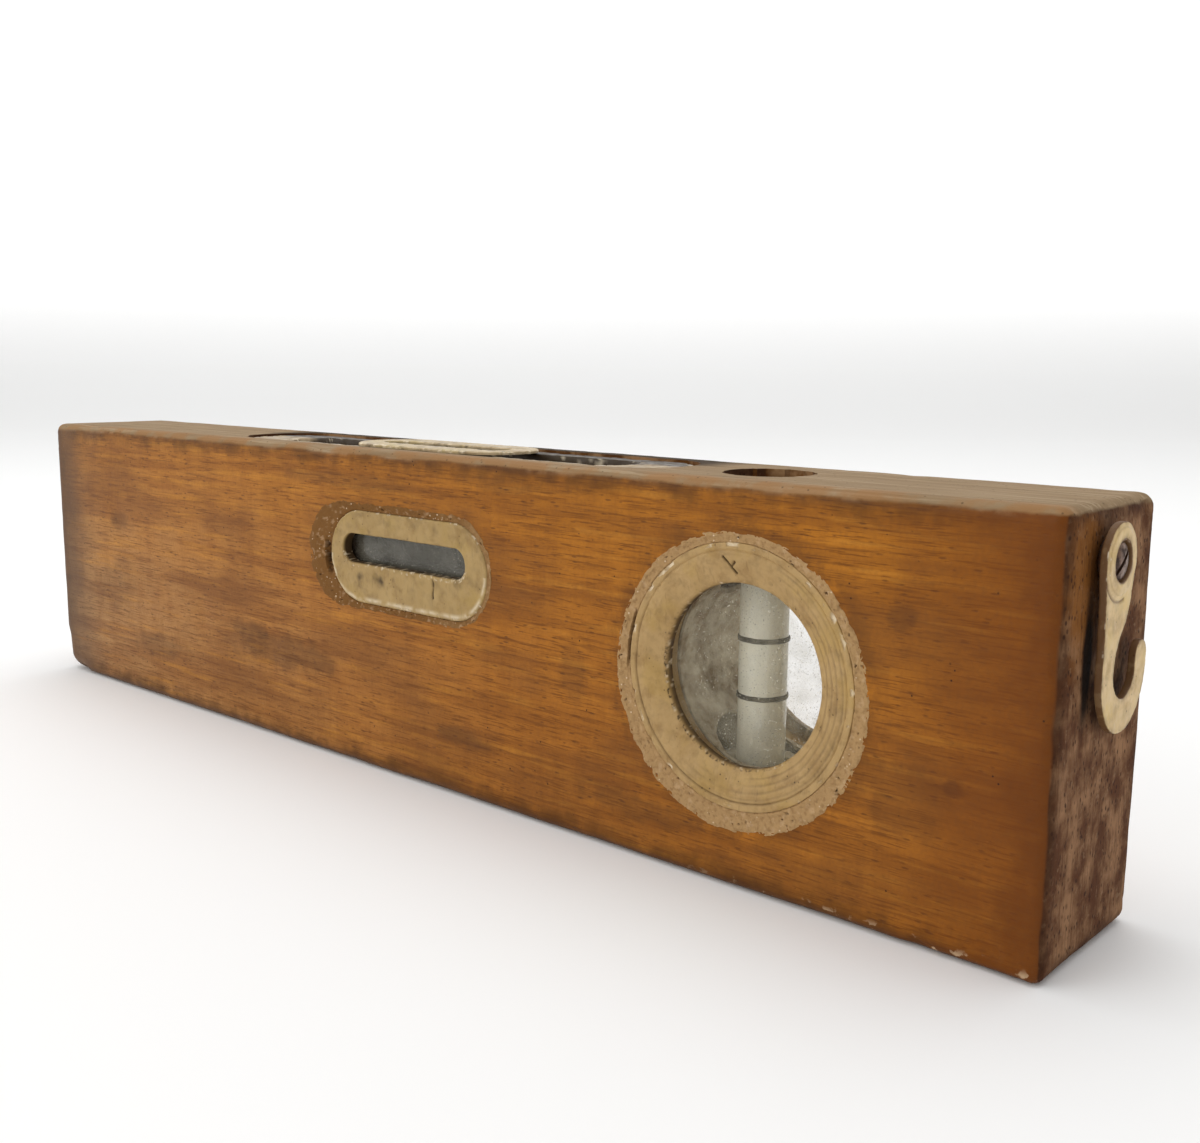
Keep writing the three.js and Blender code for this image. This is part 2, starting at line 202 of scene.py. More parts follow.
def paint(piece, **layers):
    """Stores a number for each point of the piece under each name, for its material to read."""
    for name, values in layers.items():
        layer = piece.data.attributes.new(name, "FLOAT", "POINT")
        layer.data.foreach_set("value", np.asarray(values, float))
    return piece


def tube_faces(rings, count, closed_rows):
    """Quads of a grid of rings by rows, where each ring of points joins the next, and the last the first."""
    faces = []
    rows = count if closed_rows else count - 1
    for i in range(rings):
        after = (i + 1) % rings
        for j in range(rows):
            beside = (j + 1) % count
            faces.append((i * count + j, after * count + j, after * count + beside, i * count + beside))
    return faces


def revolve(name, profile, centre, axis="Z", segments=64, sharp_angle=35):
    """A solid of revolution from [radius, height] pairs that start and end on the axis or close a loop."""
    on_axis = profile[0][0] == 0 and profile[-1][0] == 0
    inner = profile[1:-1] if on_axis else profile
    angles = np.arange(segments) * 2 * math.pi / segments
    points = [(r * math.cos(a), r * math.sin(a), h) for a in angles for r, h in inner]
    faces = tube_faces(segments, len(inner), not on_axis)
    if on_axis:
        for index, (row, flip) in enumerate([(0, True), (len(inner) - 1, False)]):
            points.append((0, 0, profile[-index][1]))
            pole = len(points) - 1
            for i in range(segments):
                a, b = i * len(inner) + row, ((i + 1) % segments) * len(inner) + row
                faces.append((pole, b, a) if flip else (pole, a, b))
    points = np.array(points)
    if axis == "X":
        points = points[:, [2, 0, 1]]
    if axis == "Y":
        points = points[:, [1, 2, 0]]
    return face_out(mesh_object(name, points + np.array(centre), faces), sharp_angle)


def arc(centre, radius, start, end, steps):
    angles = np.radians(np.linspace(start, end, steps))
    return [(centre[0] + radius * math.cos(a), centre[1] + radius * math.sin(a)) for a in angles]


def bezier(*corners, steps=14):
    """Points on a Bezier curve, without the last one."""
    points = []
    for t in np.arange(steps) / steps:
        row = [np.array(c, float) for c in corners]
        while len(row) > 1:
            row = [a + (b - a) * t for a, b in zip(row[:-1], row[1:])]
        points.append(tuple(row[0]))
    return points


# ---------- outlines: functions from 0..1 round the outline to a point (u, v) ----------

ARC_SHARE = 0.3


def circle(centre, radius):
    def at(t):
        angle = 2 * math.pi * t
        return np.array([centre[0] + radius * math.cos(angle), centre[1] + radius * math.sin(angle)])
    return at


def stadium(centre, length, height):
    """Round ends and straight sides, anticlockwise from the bottom of the right end."""
    radius = height / 2
    reach = length / 2 - radius

    def at(t):
        u, v = centre
        side = 0.5 - ARC_SHARE
        t = t % 1
        left = t >= 0.5
        part = t - 0.5 if left else t
        sign = -1 if left else 1
        if part < ARC_SHARE:
            angle = math.pi * (part / ARC_SHARE - 0.5)
            along, up = reach + radius * math.cos(angle), radius * math.sin(angle)
            return np.array([u + sign * along, v + sign * up])
        along = 1 - 2 * (part - ARC_SHARE) / side
        return np.array([u + sign * reach * along, v + sign * radius])
    return at


def ring_of(outline, steps=160, ragged=0.0, seed=0.0):
    """Points round an outline, roughened by ragged millimetres."""
    ring = np.array([outline(i / steps) for i in range(steps)])
    flat = np.column_stack([ring, np.zeros(len(ring))])
    return ring + wobble(flat, 1.6, ragged, seed, 4)[:, :2]


# how a flat outline (u, v) and a depth below the face become a point: on the front, rear, top and end
def on_front(u, v, depth):
    return (u, -(HALF_Y - depth), v)


def on_rear(u, v, depth):
    return (u, HALF_Y - depth, v)


def on_top(u, v, depth):
    return (u, v, HEIGHT - depth)


def on_end(u, v, depth):
    return (HALF_X - depth, u, v)


def loft(name, inner, outer, rows, place, steps=240, dress=None, sharp_angle=40):
    """A closed band between two outlines. Each row is (share of the way from inner to outer, depth).
    dress may shape it: from arrays of (t, share, depth) and (u, v, depth) for each point, it gives
    offsets in (u, v, depth) and the layers to paint."""
    flat, keys = [], []
    for t in np.arange(steps) / steps:
        a, b = inner(t), outer(t)
        for share, depth in rows:
            flat.append((*(a + (b - a) * share), depth))
            keys.append((t, share, depth))
    flat, keys = np.array(flat), np.array(keys)
    layers = {}
    if dress:
        offsets, layers = dress(keys, flat)
        flat = flat + offsets
    faces = tube_faces(steps, len(rows), True)
    piece = face_out(mesh_object(name, [place(*p) for p in flat], faces), sharp_angle)
    return paint(piece, **layers)


def slab(name, outline, centre, rows, place, steps=120, wave=0.0, seed=0.0):
    """A closed solid round a centre. Its rows (share of the way out, depth) run over one face and back
    under the other, and the first and last are at the centre."""
    flat = [(*centre, rows[0][1]), (*centre, rows[-1][1])]
    for t in np.arange(steps) / steps:
        edge = outline(t)
        for share, depth in rows[1:-1]:
            flat.append((*(centre + (edge - centre) * share), depth))
    flat = np.array(flat)
    flat[:, 2] += wave * bumps(flat * (1, 1, 0), 6, seed, 2)
    count = len(rows) - 2
    faces = [[i + 2 for i in face] for face in tube_faces(steps, count, False)]
    for i in range(steps):
        here, after = 2 + i * count, 2 + (i + 1) % steps * count
        faces += [(0, here, after), (1, after + count - 1, here + count - 1)]
    return face_out(mesh_object(name, [place(*p) for p in flat], faces))


def prism(name, ring, place, low, high):
    """A solid from a ring of points (u, v) between two depths."""
    steps = len(ring)
    points = [place(u, v, depth) for depth in (low, high) for u, v in ring]
    faces = [(i, (i + 1) % steps, steps + (i + 1) % steps, steps + i) for i in range(steps)]
    faces += [tuple(range(steps))[::-1], tuple(range(steps, 2 * steps))]
    return face_out(mesh_object(name, points, faces))


def plug(outline, steps, place, low, high, ragged=0.0, seed=0.0):
    """A solid from an outline, roughened by ragged millimetres, between two depths."""
    return prism("plug", ring_of(outline, steps, ragged, seed), place, low, high)


def place_piece(piece, slot, material, *nodes, body="level"):
    """Gives the piece its body and material, and hides the CAD nodes that it stands for. The slot is not
    used.
    """
    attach(piece, body)
    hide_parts(*nodes)
    piece.data.materials.clear()
    piece.data.materials.append(MATERIALS[material])


# ---------- shader helper ----------

def linear(red, green, blue):
    """A colour given as 0 to 255 in sRGB, as linear light."""
    def one(value):
        value /= 255
        return value / 12.92 if value <= 0.04045 else ((value + 0.055) / 1.055) ** 2.4
    return (one(red), one(green), one(blue), 1.0)


class Shader:
    """A material whose nodes are added by short calls. Sockets and plain numbers mix freely."""

    def __init__(self, name):
        self.material = bpy.data.materials.new(name)
        self.material.use_nodes = True
        self.tree = self.material.node_tree
        self.tree.nodes.clear()
        self.bsdf = self.node("BsdfPrincipled")
        self.node("OutputMaterial", Surface=self.bsdf.outputs[0])
        self.coords = self.node("TexCoord")

    def put(self, socket, value):
        if isinstance(value, bpy.types.NodeSocket):
            self.tree.links.new(value, socket)
        else:
            socket.default_value = value

    def fill(self, node, inputs):
        """Sets inputs of a node. Each is named as its socket, with _ for a space."""
        for name, value in inputs.items():
            self.put(node.inputs[name.replace("_", " ")], value)
        return node

    def node(self, kind, **inputs):
        return self.fill(self.tree.nodes.new("ShaderNode" + kind), inputs)

    def set(self, **inputs):
        self.fill(self.bsdf, inputs)
        return self.material

    def place(self, x=1.0, y=None, z=None):
        """Object coordinates, each scaled to that many per millimetre. One left out is as the one before."""
        y = x if y is None else y
        z = y if z is None else z
        scale = (x / MM, y / MM, z / MM)
        return self.node("Mapping", Vector=self.coords.outputs["Object"], Scale=scale).outputs[0]

    def axes(self, vector=None):
        return self.node("SeparateXYZ", Vector=vector or self.place()).outputs

    def layer(self, name):
        """A number painted on the mesh."""
        node = self.node("Attribute")
        node.attribute_name = name
        return node.outputs["Fac"]

    def noise(self, *scales, detail=4.0, roughness=0.55, distortion=0.0):
        return self.node("TexNoise", Vector=self.place(*scales), Scale=1.0, Detail=detail,
                         Roughness=roughness, Distortion=distortion).outputs["Fac"]

    def cells(self, *scales):
        """How far each point is from the nearest of many scattered points."""
        return self.node("TexVoronoi", Vector=self.place(*scales), Scale=1.0).outputs["Distance"]

    def span(self, value, low, high, to_low=0.0, to_high=1.0, soft=True):
        """The value's way from low to high, as a number from to_low to to_high, held at its ends."""
        node = self.node("MapRange", Value=value, From_Min=low, From_Max=high, To_Min=to_low, To_Max=to_high)
        node.interpolation_type = "SMOOTHSTEP" if soft else "LINEAR"
        return node.outputs["Result"]

    def fade(self, value, low, high, rough, reach):
        """A span whose place wanders with the rough number, by up to that reach."""
        return self.span(self.math("MULTIPLY_ADD", rough, reach, value), low, high)

    def patches(self, low, high, *scales, **looks):
        """Noise as patches: 0 where it is under low, 1 where it is over high."""
        return self.span(self.noise(*scales, **looks), low, high)

    def specks(self, far, near, *scales):
        """Scattered dots: 1 within the near distance of each point, 0 beyond the far one."""
        return self.span(self.cells(*scales), far, near)

    def math(self, operation, *values):
        node = self.node("Math")
        node.operation = operation
        for socket, value in zip(node.inputs, values):
            self.put(socket, value)
        return node.outputs[0]

    def absolute(self, value):
        return self.math("ABSOLUTE", value)

    def fold(self, operation, values):
        result = values[0]
        for value in values[1:]:
            result = self.math(operation, result, value)
        return result

    def times(self, *values):
        return self.fold("MULTIPLY", values)

    def least(self, *values):
        return self.fold("MINIMUM", values)

    def most(self, *values):
        return self.fold("MAXIMUM", values)

    def mix(self, factor, a, b):
        node = self.node("Mix")
        node.data_type = "RGBA"
        for socket, value in zip((node.inputs[i] for i in (0, 6, 7)), (factor, a, b)):
            self.put(socket, value)
        return node.outputs[2]

    def coats(self, colour, *layers):
        """Lays colours over a colour in turn. Each layer is (its colour, its strength, its masks...)."""
        for rgb, strength, *masks in layers:
            colour = self.mix(self.times(*masks, strength), colour, linear(*rgb))
        return colour

    def blob(self, centre, reach, ragged=0.35, grain=0.25, plane="xz"):
        """A soft patch of 1 in 0 about the centre, in millimetres, with a ragged edge."""
        axes = dict(zip("xyz", self.axes()))
        terms = []
        for letter, middle, size in zip(plane, centre, reach):
            away = self.math("MULTIPLY_ADD", axes[letter], 1 / size, -middle / size)
            terms.append(self.math("POWER", self.absolute(away), 2.0))
        far = self.math("SQRT", self.math("ADD", *terms))
        rough = self.math("MULTIPLY_ADD", self.noise(grain), ragged * 2, -ragged)
        return self.span(self.math("ADD", far, rough), 1.0, 0.45)

    def bump(self, height, distance, strength=1.0, after=None):
        node = self.node("Bump", Strength=strength, Distance=distance * MM, Height=height)
        if after is not None:
            self.put(node.inputs["Normal"], after)
        return node.outputs[0]


# ---------- the camera ----------

def make_camera():
    """The photograph's view: from the right of the front face, a little above the top."""
    data = bpy.data.cameras.new("camera")
    data.sensor_width = 36
    data.lens = 39.4565
    data.clip_start = 0.005
    data.clip_end = 20
    camera = bpy.data.objects.new("camera", data)
    bpy.context.scene.collection.objects.link(camera)
    right = Vector((0.74585, 0.66606, 0.00898))
    down = Vector((0.11379, -0.11411, -0.98693))
    forward = Vector((-0.65633, 0.73712, -0.1609))
    place = Vector((0.18531, -0.16461, 0.07691))
    turn = Matrix((right, -down, -forward)).transposed()
    camera.matrix_world = Matrix.Translation(place) @ turn.to_4x4()
    bpy.context.scene.camera = camera


# ---------- the stage: a pale floor that curves up into a backdrop, and soft lights ----------

def make_stage():
    radius, reach, bend, top, steps = 500, 2500, 1000, 1400, 24
    floor = -0.02  # just under the block, so that the two don't flicker
    profile = [(-reach, 0.0)] + arc((bend, radius), radius, -90, 0, steps) + [(bend + radius, top)]
    angle = math.radians(41.7)  # square to the camera
    along = np.array([math.cos(angle), math.sin(angle), 0])
    away = np.array([-math.sin(angle), math.cos(angle), 0])
    points = [along * side + away * d + np.array([0, 0, h + floor])
              for side in (-2 * reach, 2 * reach) for d, h in profile]
    count = len(profile)
    faces = [(j, count + j, count + j + 1, j + 1) for j in range(count - 1)]
    backdrop = mesh_object("backdrop", points, faces, 180)
    shader = Shader("backdrop_paper")
    glow = shader.span(shader.axes()[2], 5, 300, 0.0, 0.62)  # brighter with height
    backdrop.data.materials.append(shader.set(
        Base_Color=(0.93, 0.93, 0.925, 1), Roughness=0.9, Specular_IOR_Level=0.1,
        Emission_Color=(1, 1, 1, 1), Emission_Strength=glow))


BLOCK_MIDDLE = Vector((0, 0, 0.03))


def area_light(name, place, size, power):
    """A soft rectangle of light that faces the block."""
    data = bpy.data.lights.new(name, "AREA")
    data.shape = "RECTANGLE"
    data.size, data.size_y = size
    data.energy = power
    light = bpy.data.objects.new(name, data)
    bpy.context.scene.collection.objects.link(light)
    light.location = place
    light.rotation_euler = (BLOCK_MIDDLE - Vector(place)).to_track_quat("-Z", "Y").to_euler()


def make_lights():
    world = bpy.data.worlds.new("studio")
    world.use_nodes = True
    background = world.node_tree.nodes["Background"].inputs
    background["Color"].default_value = (1, 1, 1, 1)
    background["Strength"].default_value = 0.6
    bpy.context.scene.world = world
    area_light("top_softbox", (-0.1, 0.1, 0.9), (1.2, 0.8), 4.5)
    area_light("front_softbox", (-0.5, -0.9, 0.45), (0.8, 0.6), 3.2)
    bpy.context.scene.view_settings.view_transform = "Standard"


# ---------- the wooden block ----------

CORNER_R = 1.9
WORN_CORNER_R = 4.6
FINE_BAND = 6.0
FINE_STEP = 0.5
COARSE_STEP = 2.2
PORT_BORE_R = 15.2
PORT_BORE_X = 77.6
PORT_BORE_Z = 31.3
PLUMB_BORE_R = 7.0
PLUMB_BORE_FLOOR = 8.0
MORTISE_LENGTH = 94
PILOT_R, PILOT_DEPTH = 1.5, 12.5  # the hole that the hook's screw sits in
RECESS_SLACK = 0.125
ROUND_TOLERANCE = 0.1


def uneven_steps(half):
    """Positions across a side from -half to half, close together near both ends."""
    near = np.arange(0, FINE_BAND, FINE_STEP)
    count = max(2, int((half - FINE_BAND) * 2 / COARSE_STEP))
    middle = np.linspace(-half + FINE_BAND, half - FINE_BAND, count)
    return np.concatenate([-half + near, middle, (half - near)[::-1]])


def block_grid(half):
    """The shell of a box as points and quads, with fine cells along its edges."""
    steps = [uneven_steps(h) for h in half]
    index, points, faces = {}, [], []

    def corner(key):
        if key not in index:
            index[key] = len(points)
            points.append([steps[axis][k] for axis, k in enumerate(key)])
        return index[key]

    for axis in range(3):
        b, c = (axis + 1) % 3, (axis + 2) % 3
        for end in (0, len(steps[axis]) - 1):
            for i in range(len(steps[b]) - 1):
                for j in range(len(steps[c]) - 1):
                    quad = []
                    for di, dj in ((0, 0), (1, 0), (1, 1), (0, 1)):
                        key = [0, 0, 0]
                        key[axis], key[b], key[c] = end, i + di, j + dj
                        quad.append(corner(tuple(key)))
                    faces.append(quad if end else quad[::-1])
    return np.array(points), faces


# dents in the block: where, how far they reach and how deep, in millimetres
DENTS = [
    ((-96, -14.5, 39), 5.0, 0.25), ((-62, -14.5, 22), 4.0, 0.3), ((-38, -14.5, 17), 6.0, 0.35),
    ((20, -14.5, 12), 3.0, 0.3), ((104, -14.5, 45), 2.5, 0.3), ((112, -14.5, 23), 2.2, 0.25),
    ((118, -14.5, 3), 2.6, 0.5), ((108, -14.5, 1), 2.2, 0.4), ((122, -14.5, 14), 2.0, 0.3),
    ((60, -14.5, 59.5), 4.0, 0.4), ((-20, -14.5, 60), 6.0, 0.35), ((-110, -14.5, 60), 7.0, 0.35),
    ((125, 10, 59), 3.0, 0.4), ((125, -14, 33), 2.0, 0.3), ((-125, 10, 20), 5.0, 0.5),
    ((10, 14.5, 25), 6.0, 0.35), ((-70, 14.5, 44), 4.0, 0.3), ((90, 14.5, 58), 4.0, 0.4),
    ((-40, 14.5, 0), 4.0, 0.4),
]


def round_block(points, half):
    """Rounds the box's edges, more or less from place to place, then sinks the dents."""
    half = np.array(half)
    worn_low = np.array([-half[0], -half[2]])
    radius = CORNER_R + 0.35 * bumps(points, 26, 1) + 0.12 * bumps(points, 6, 2)
    to_corner = np.hypot(points[:, 0] - worn_low[0], points[:, 2] - worn_low[1])
    radius = np.where(to_corner < 9, np.maximum(radius, WORN_CORNER_R * (1 - to_corner / 30)), radius)
    radius = np.clip(radius, 0.8, FINE_BAND)[:, None]
    core = np.clip(points, -half + radius, half - radius)
    out = points - core
    length = np.linalg.norm(out, axis=1, keepdims=True)
    normal = np.where(length > 1e-6, out / np.maximum(length, 1e-6), 0)
    rounded = core + normal * radius
    sink = 0.04 * (1 + bumps(points, 14, 3))
    near_edge = np.count_nonzero(np.abs(out) > 1e-6, axis=1) > 1
    sink = sink + near_edge * 0.09 * np.abs(bumps(points, 1.6, 4))
    for where, reach, depth in DENTS:
        where = np.array(where) - np.array([0, 0, HEIGHT / 2])
        away = np.linalg.norm(points - where, axis=1) / reach
        sink = sink + depth * clip(1 - away ** 2) ** 2
    return rounded - normal * sink[:, None]


def flat_centre(box):
    """The centre of a piece in a side face, as (x, z)."""
    return np.array([box.centre[0], box.centre[2]])


def outline_of(box, grow):
    """The outline of a piece in a side face, round or a stadium, moved out by grow millimetres."""
    length, height = box.size[0] + 2 * grow, box.size[2] + 2 * grow
    if abs(length - height) < ROUND_TOLERANCE:
        return circle(flat_centre(box), length / 2)
    return stadium(flat_centre(box), length, height)


def window_cutters(side):
    """The recesses of the slot window and of the port in one side face."""
    prefix, place = ("front", on_front) if side < 0 else ("rear", on_rear)
    putty, pane, ring = (Box(f"{prefix}_{kind}") for kind in ("slot_putty", "slot_pane", "port_putty"))
    pane_depth = HALF_Y - min(abs(pane.low[1]), abs(pane.high[1])) + 0.2
    return [
        plug(outline_of(putty, RECESS_SLACK), 240, place, -1, putty.size[1] + 0.2, 0.25, side + 2),
        plug(outline_of(pane, 0.2), 120, place, -1, pane_depth),
        plug(outline_of(ring, RECESS_SLACK), 300, place, -1, ring.size[1] + 0.3, 0.25, side + 5),
    ]


def wooden_block():
    half = (HALF_X, HALF_Y, HEIGHT / 2)
    points, faces = block_grid(half)
    points = round_block(points, half) + np.array([0, 0, HEIGHT / 2])
    block = face_out(mesh_object("wooden_block", points, faces))
    pane, frame_box, bed = Box("front_slot_pane"), Box("top_frame"), Box("level_bed_left")
    vial, screw = Box("plumb_vial"), Box("hook_screw")
    sight = stadium(flat_centre(pane), pane.size[0] - 2.6, pane.size[2] - 2.2)
    port = circle((vial.centre[0] + 5, PORT_BORE_Z), PORT_BORE_R)
    plate = stadium((0, 0), frame_box.size[0] + 0.5, frame_box.size[1] + 0.5)
    mortise = stadium((0, 0), MORTISE_LENGTH, bed.size[1] + 0.4)
    bore = circle((vial.centre[0], 0), PLUMB_BORE_R)
    through = 2 * HALF_Y + 1
    combine(block, window_cutters(-1) + window_cutters(1) + [
        plug(sight, 96, on_front, -1, through),
        plug(port, 128, on_front, -1, through),
        plug(plate, 220, on_top, -1, HEIGHT - frame_box.low[2] + 0.2, 0.2, 8),
        plug(mortise, 160, on_top, -1, HEIGHT - bed.low[2] + 0.2, 0.2, 9),
        plug(bore, 96, on_top, -1, HEIGHT - PLUMB_BORE_FLOOR, 0.5, 10),
        plug(circle(screw.centre[1:], PILOT_R), 24, on_end, -1, PILOT_DEPTH),
    ])
    smooth(block, 32)
    place_piece(block, "wood", "wood", "body")


# ---------- the windows in the side faces ----------

RING_OPENING_R = 13.6
RING_SEAT_R = 15.6
RING_SEAT_DEPTH = 2.8
BEZEL_SLOT = ((3.8, 41.5), 33.4, 5.4)
# places on the ring and the bezel, as shares of the way from the opening to the rim
RING_SLOPE = (0.2, 0.76)
RING_GROOVE = 0.8
BEZEL_RIDGE = 0.9
RIDGES = 6
SLOT_CREVICE = ((-19.5, 39), 4.5)
PORT_CREVICE = ((58, 34.5), 5.0)
BEZEL_STAINS = [((-2.5, 36.5), 2.2), ((-8.5, 35.6), 2.0), ((0, 47), 1.3), ((19, 38.4), 1.6)]

# cracks in the front pieces, as broken lines of (x, z)
RING_CRACKS = [
    [(74.9, 48.9), (75.7, 48.2), (76.2, 47.5), (76.9, 46.7)],
    [(76.2, 47.5), (76.9, 48.4)],
]
BEZEL_CRACKS = [
    [(12.2, 38.2), (12.5, 36.8), (12.2, 35.4), (12.3, 34.8)],
]


def ring_dress(seed, cracks):
    """Fine ridges, chips at the rim, cracks, dirt, and painted shade down the inside of the opening for the
    ring round the port.
    """
    def dress(keys, flat):
        turn, share, depth = keys[:, 0] * 2 * math.pi, keys[:, 1], keys[:, 2]
        face = (depth < 1.7) * (share > 0)
        small, fine = bumps(flat, 1.3, seed), bumps(flat, 0.4, seed + 1)
        ridged = clip(0.25 + 0.9 * np.cos(turn + 0.3) + 0.8 * bumps(flat, 7, seed + 6))
        uneven = share + 0.018 * bumps(flat, 5, seed + 7)
        on_slope = (share > RING_SLOPE[0]) * (share < RING_SLOPE[1])
        ridge = ridged * np.sin(uneven * 2 * math.pi * RIDGES) * on_slope
        chip = np.maximum((share > 0.9) * spots(flat, 2.4, seed + 2, 0.28, 4),
                          0.7 * (share < 0.07) * spots(flat, 0.8, seed + 3, 0.34, 3))
        crack = crack_marks(flat, cracks, 0.14, 0.08, 0.7, seed + 4)
        sink = 0.05 * small + 0.02 * fine + 0.05 * ridge + 0.3 * chip + 0.4 * crack
        offsets = wobble(flat, 3, 0.05, seed + 5)
        offsets[:, 2] = np.maximum(sink * face, -0.05 - depth)
        low_left = clip(0.35 - 0.9 * np.cos(turn - 1.1) + 0.7 * bumps(flat, 4, seed + 8))
        groove = low_left * band(share, RING_GROOVE, 0.03)
        at_edge = (share > 0) * (share < 0.06)
        crumbs = at_edge * clip(0.1 - np.cos(turn - 0.7)) * clip(fine * 2)
        # painted shade: the inner wall of the opening darkens with depth
        inner = (share < 0.02) * clip((depth - 1.2) * 0.8)
        dirt = crack + groove * 0.45 + inner + crumbs + 0.28 * clip(ridge)
        dirt = clip(dirt + 0.22 * clip(small + 0.4 * fine))
        return offsets, {"dirt": dirt * (1 - chip), "chip": chip * 0.8}
    return dress


def port_ring(prefix, place, seed, cracks):
    """The dished plastic ring: a flat rim, a step groove, then a ridged slope down to the opening."""
    box = Box(f"{prefix}_port_ring")
    turns = [(0.03, 1.45), (0.08, 1.25), (0.28, 0.75), (0.55, 0.22), (0.74, 0.14), (0.78, 0.18), (0.8, 0.3),
             (0.82, 0.18), (0.85, 0.05), (0.95, 0.02)]
    shares = np.linspace(0.03, 0.95, 64)
    depths = np.interp(shares, *zip(*turns))
    seat = (RING_SEAT_R - RING_OPENING_R) / (box.size[0] / 2 - RING_OPENING_R)
    back = box.size[1] - 0.05
    rows = [(0, RING_SEAT_DEPTH), (0, 2.2), (0, 1.7)] + list(zip(shares, depths))
    rows += [(0.985, 0.08), (1, 0.3), (1, 1.5), (1, back), (seat, back), (seat, RING_SEAT_DEPTH)]
    piece = loft(f"{prefix}_ring_dished", circle(flat_centre(box), RING_OPENING_R), outline_of(box, -0.03),
                 rows, place, 640, ring_dress(seed, cracks))
    place_piece(piece, "plastic", "ring", f"{prefix}_port_ring")


def bezel_dress(seed, cracks):
    """A worn ridge along the rim, chips along the slot, cracks, dirt and painted shade on the slot's inner
    wall for the slotted bezel.
    """
    def dress(keys, flat):
        share, depth = keys[:, 1], keys[:, 2]
        face = depth < 0.3
        small, fine = bumps(flat, 1.8, seed), bumps(flat, 0.45, seed + 1)
        right = clip((flat[:, 0] - 8) / 16)
        low_edge = (flat[:, 1] < 41) * (share < 0.09)
        chip = np.maximum(0.75 * low_edge * spots(flat, 0.7, seed + 2, 0.3 - 0.35 * right, 3),
                          (share > 0.93) * spots(flat, 1.7, seed + 3, 0.3, 4))
        crack = crack_marks(flat, cracks, 0.17, 0.1, 0.8, seed + 4)
        ridge = band(share, BEZEL_RIDGE, 0.05)
        sink = 0.06 * small + 0.02 * fine + 0.04 - 0.07 * ridge + 0.3 * chip + 0.3 * crack
        offsets = wobble(flat, 4, 0.06, seed + 5)
        offsets[:, 2] = np.maximum(sink * face, -0.08 - depth)
        stain = sum(near_spot(flat, centre, reach) for centre, reach in BEZEL_STAINS)
        # painted shade: the inner wall of the slot is dark below the face
        inner = (share < 0.02) * clip((depth - 0.15) * 4)
        dirt = clip(crack + inner + 0.6 * stain * (0.6 + small) + 0.3 * clip(small))
        light = np.maximum(chip, 0.6 * ridge * (flat[:, 1] < 40) * clip(0.7 + small))
        return offsets, {"dirt": dirt * (1 - chip), "chip": light}
    return dress


def slot_bezel(prefix, place, seed, cracks):
    box = Box(f"{prefix}_slot_bezel")
    back = box.size[1] - 0.15
    rows = [(0, back), (0, 1.6), (0, 0.6), (0.01, 0.22), (0.03, 0.08)]
    rows += [(share, 0.0) for share in np.linspace(0.06, 0.95, 34)]
    rows += [(0.98, 0.06), (1, 0.25), (1, 1.2), (1, back)]
    piece = loft(f"{prefix}_bezel_slotted", stadium(*BEZEL_SLOT), outline_of(box, -0.02), rows, place, 640,
                 bezel_dress(seed, cracks))
    place_piece(piece, "plastic", "bezel", f"{prefix}_slot_bezel")


def putty_dress(seed, crevice, hollow):
    """A rough band, hollow millimetres deep in its middle, with its outer lip smeared over the wood.
    crevice is (centre, reach) of a gap along its inner edge, painted dark as shade, or None."""
    def dress(keys, flat):
        share, depth = keys[:, 1], keys[:, 2]
        top = depth < 0.6
        coarse, small, fine = (bumps(flat, wave, seed + k, 4) for k, wave in enumerate((2.6, 0.9, 0.35)))
        middle = np.sin(clip(share * 1.25) * math.pi)
        tuck = clip(1 - share / 0.12) * 0.3
        sink = 0.1 * coarse + 0.09 * small + 0.05 * fine + hollow * middle
        pit = spots(flat, 0.7, seed + 7, 0.66, 4, 3)
        offsets = np.zeros_like(flat)
        offsets[:, :2] = wobble(flat, 1.8, 0.32, seed + 8, 4)[:, :2] * (share > 0.8)[:, None] * top[:, None]
        gap = np.zeros(len(flat))
        if crevice:
            centre, reach = crevice
            gap = near_spot(flat, centre, reach) * (share < 0.3) * (0.6 + 0.6 * small)
        offsets[:, 2] = np.maximum((sink + 0.35 * pit + tuck) * top + 2.2 * gap, -0.06 - depth)
        # painted shade in the crevice, with dirt in the pits
        return offsets, {"dirt": clip(gap * 1.5 + pit), "chip": clip((small - 0.3) * 3)}
    return dress


def putty_band(prefix, kind, neighbour, tuck, spread, place, dress):
    """The putty from tuck millimetres under its neighbour's rim to spread millimetres past its recess."""
    box = Box(f"{prefix}_{kind}_putty")
    back = box.size[1] - 0.1
    rows = [(0, back), (0, 1.2), (0, 0.3)]
    rows += [(share, 0.0) for share in np.linspace(0.03, 1.0, 16)]
    rows += [(1.1, 0.02), (1.16, 0.16), (0.97, 0.6), (0.97, back)]
    inner, outer = outline_of(Box(f"{prefix}_{neighbour}"), -tuck), outline_of(box, spread)
    piece = loft(f"{prefix}_{kind}_putty_band", inner, outer, rows, place, 640, dress)
    place_piece(piece, "putty", "putty", f"{prefix}_{kind}_putty")


def windows(prefix, place, seed):
    """The slot's pane and the port's round window: old glass, a little wavy, with ground edges."""
    for kind, name in (("slot_pane", "pane_of_slot"), ("port_window", "window_of_port")):
        box = Box(f"{prefix}_{kind}")
        front = HALF_Y - max(abs(box.low[1]), abs(box.high[1]))
        back = front + box.size[1]
        shares = list(np.linspace(0, 0.98, 12))
        rows = [(s, front + 0.06) for s in shares] + [(1, front + 0.2), (1, back - 0.2)]
        rows += [(s, back - 0.06) for s in shares[::-1]]
        piece = slab(f"{prefix}_{name}", outline_of(box, 0), flat_centre(box), rows, place, 160, 0.03, seed)
        place_piece(piece, "glass", kind, f"{prefix}_{kind}")


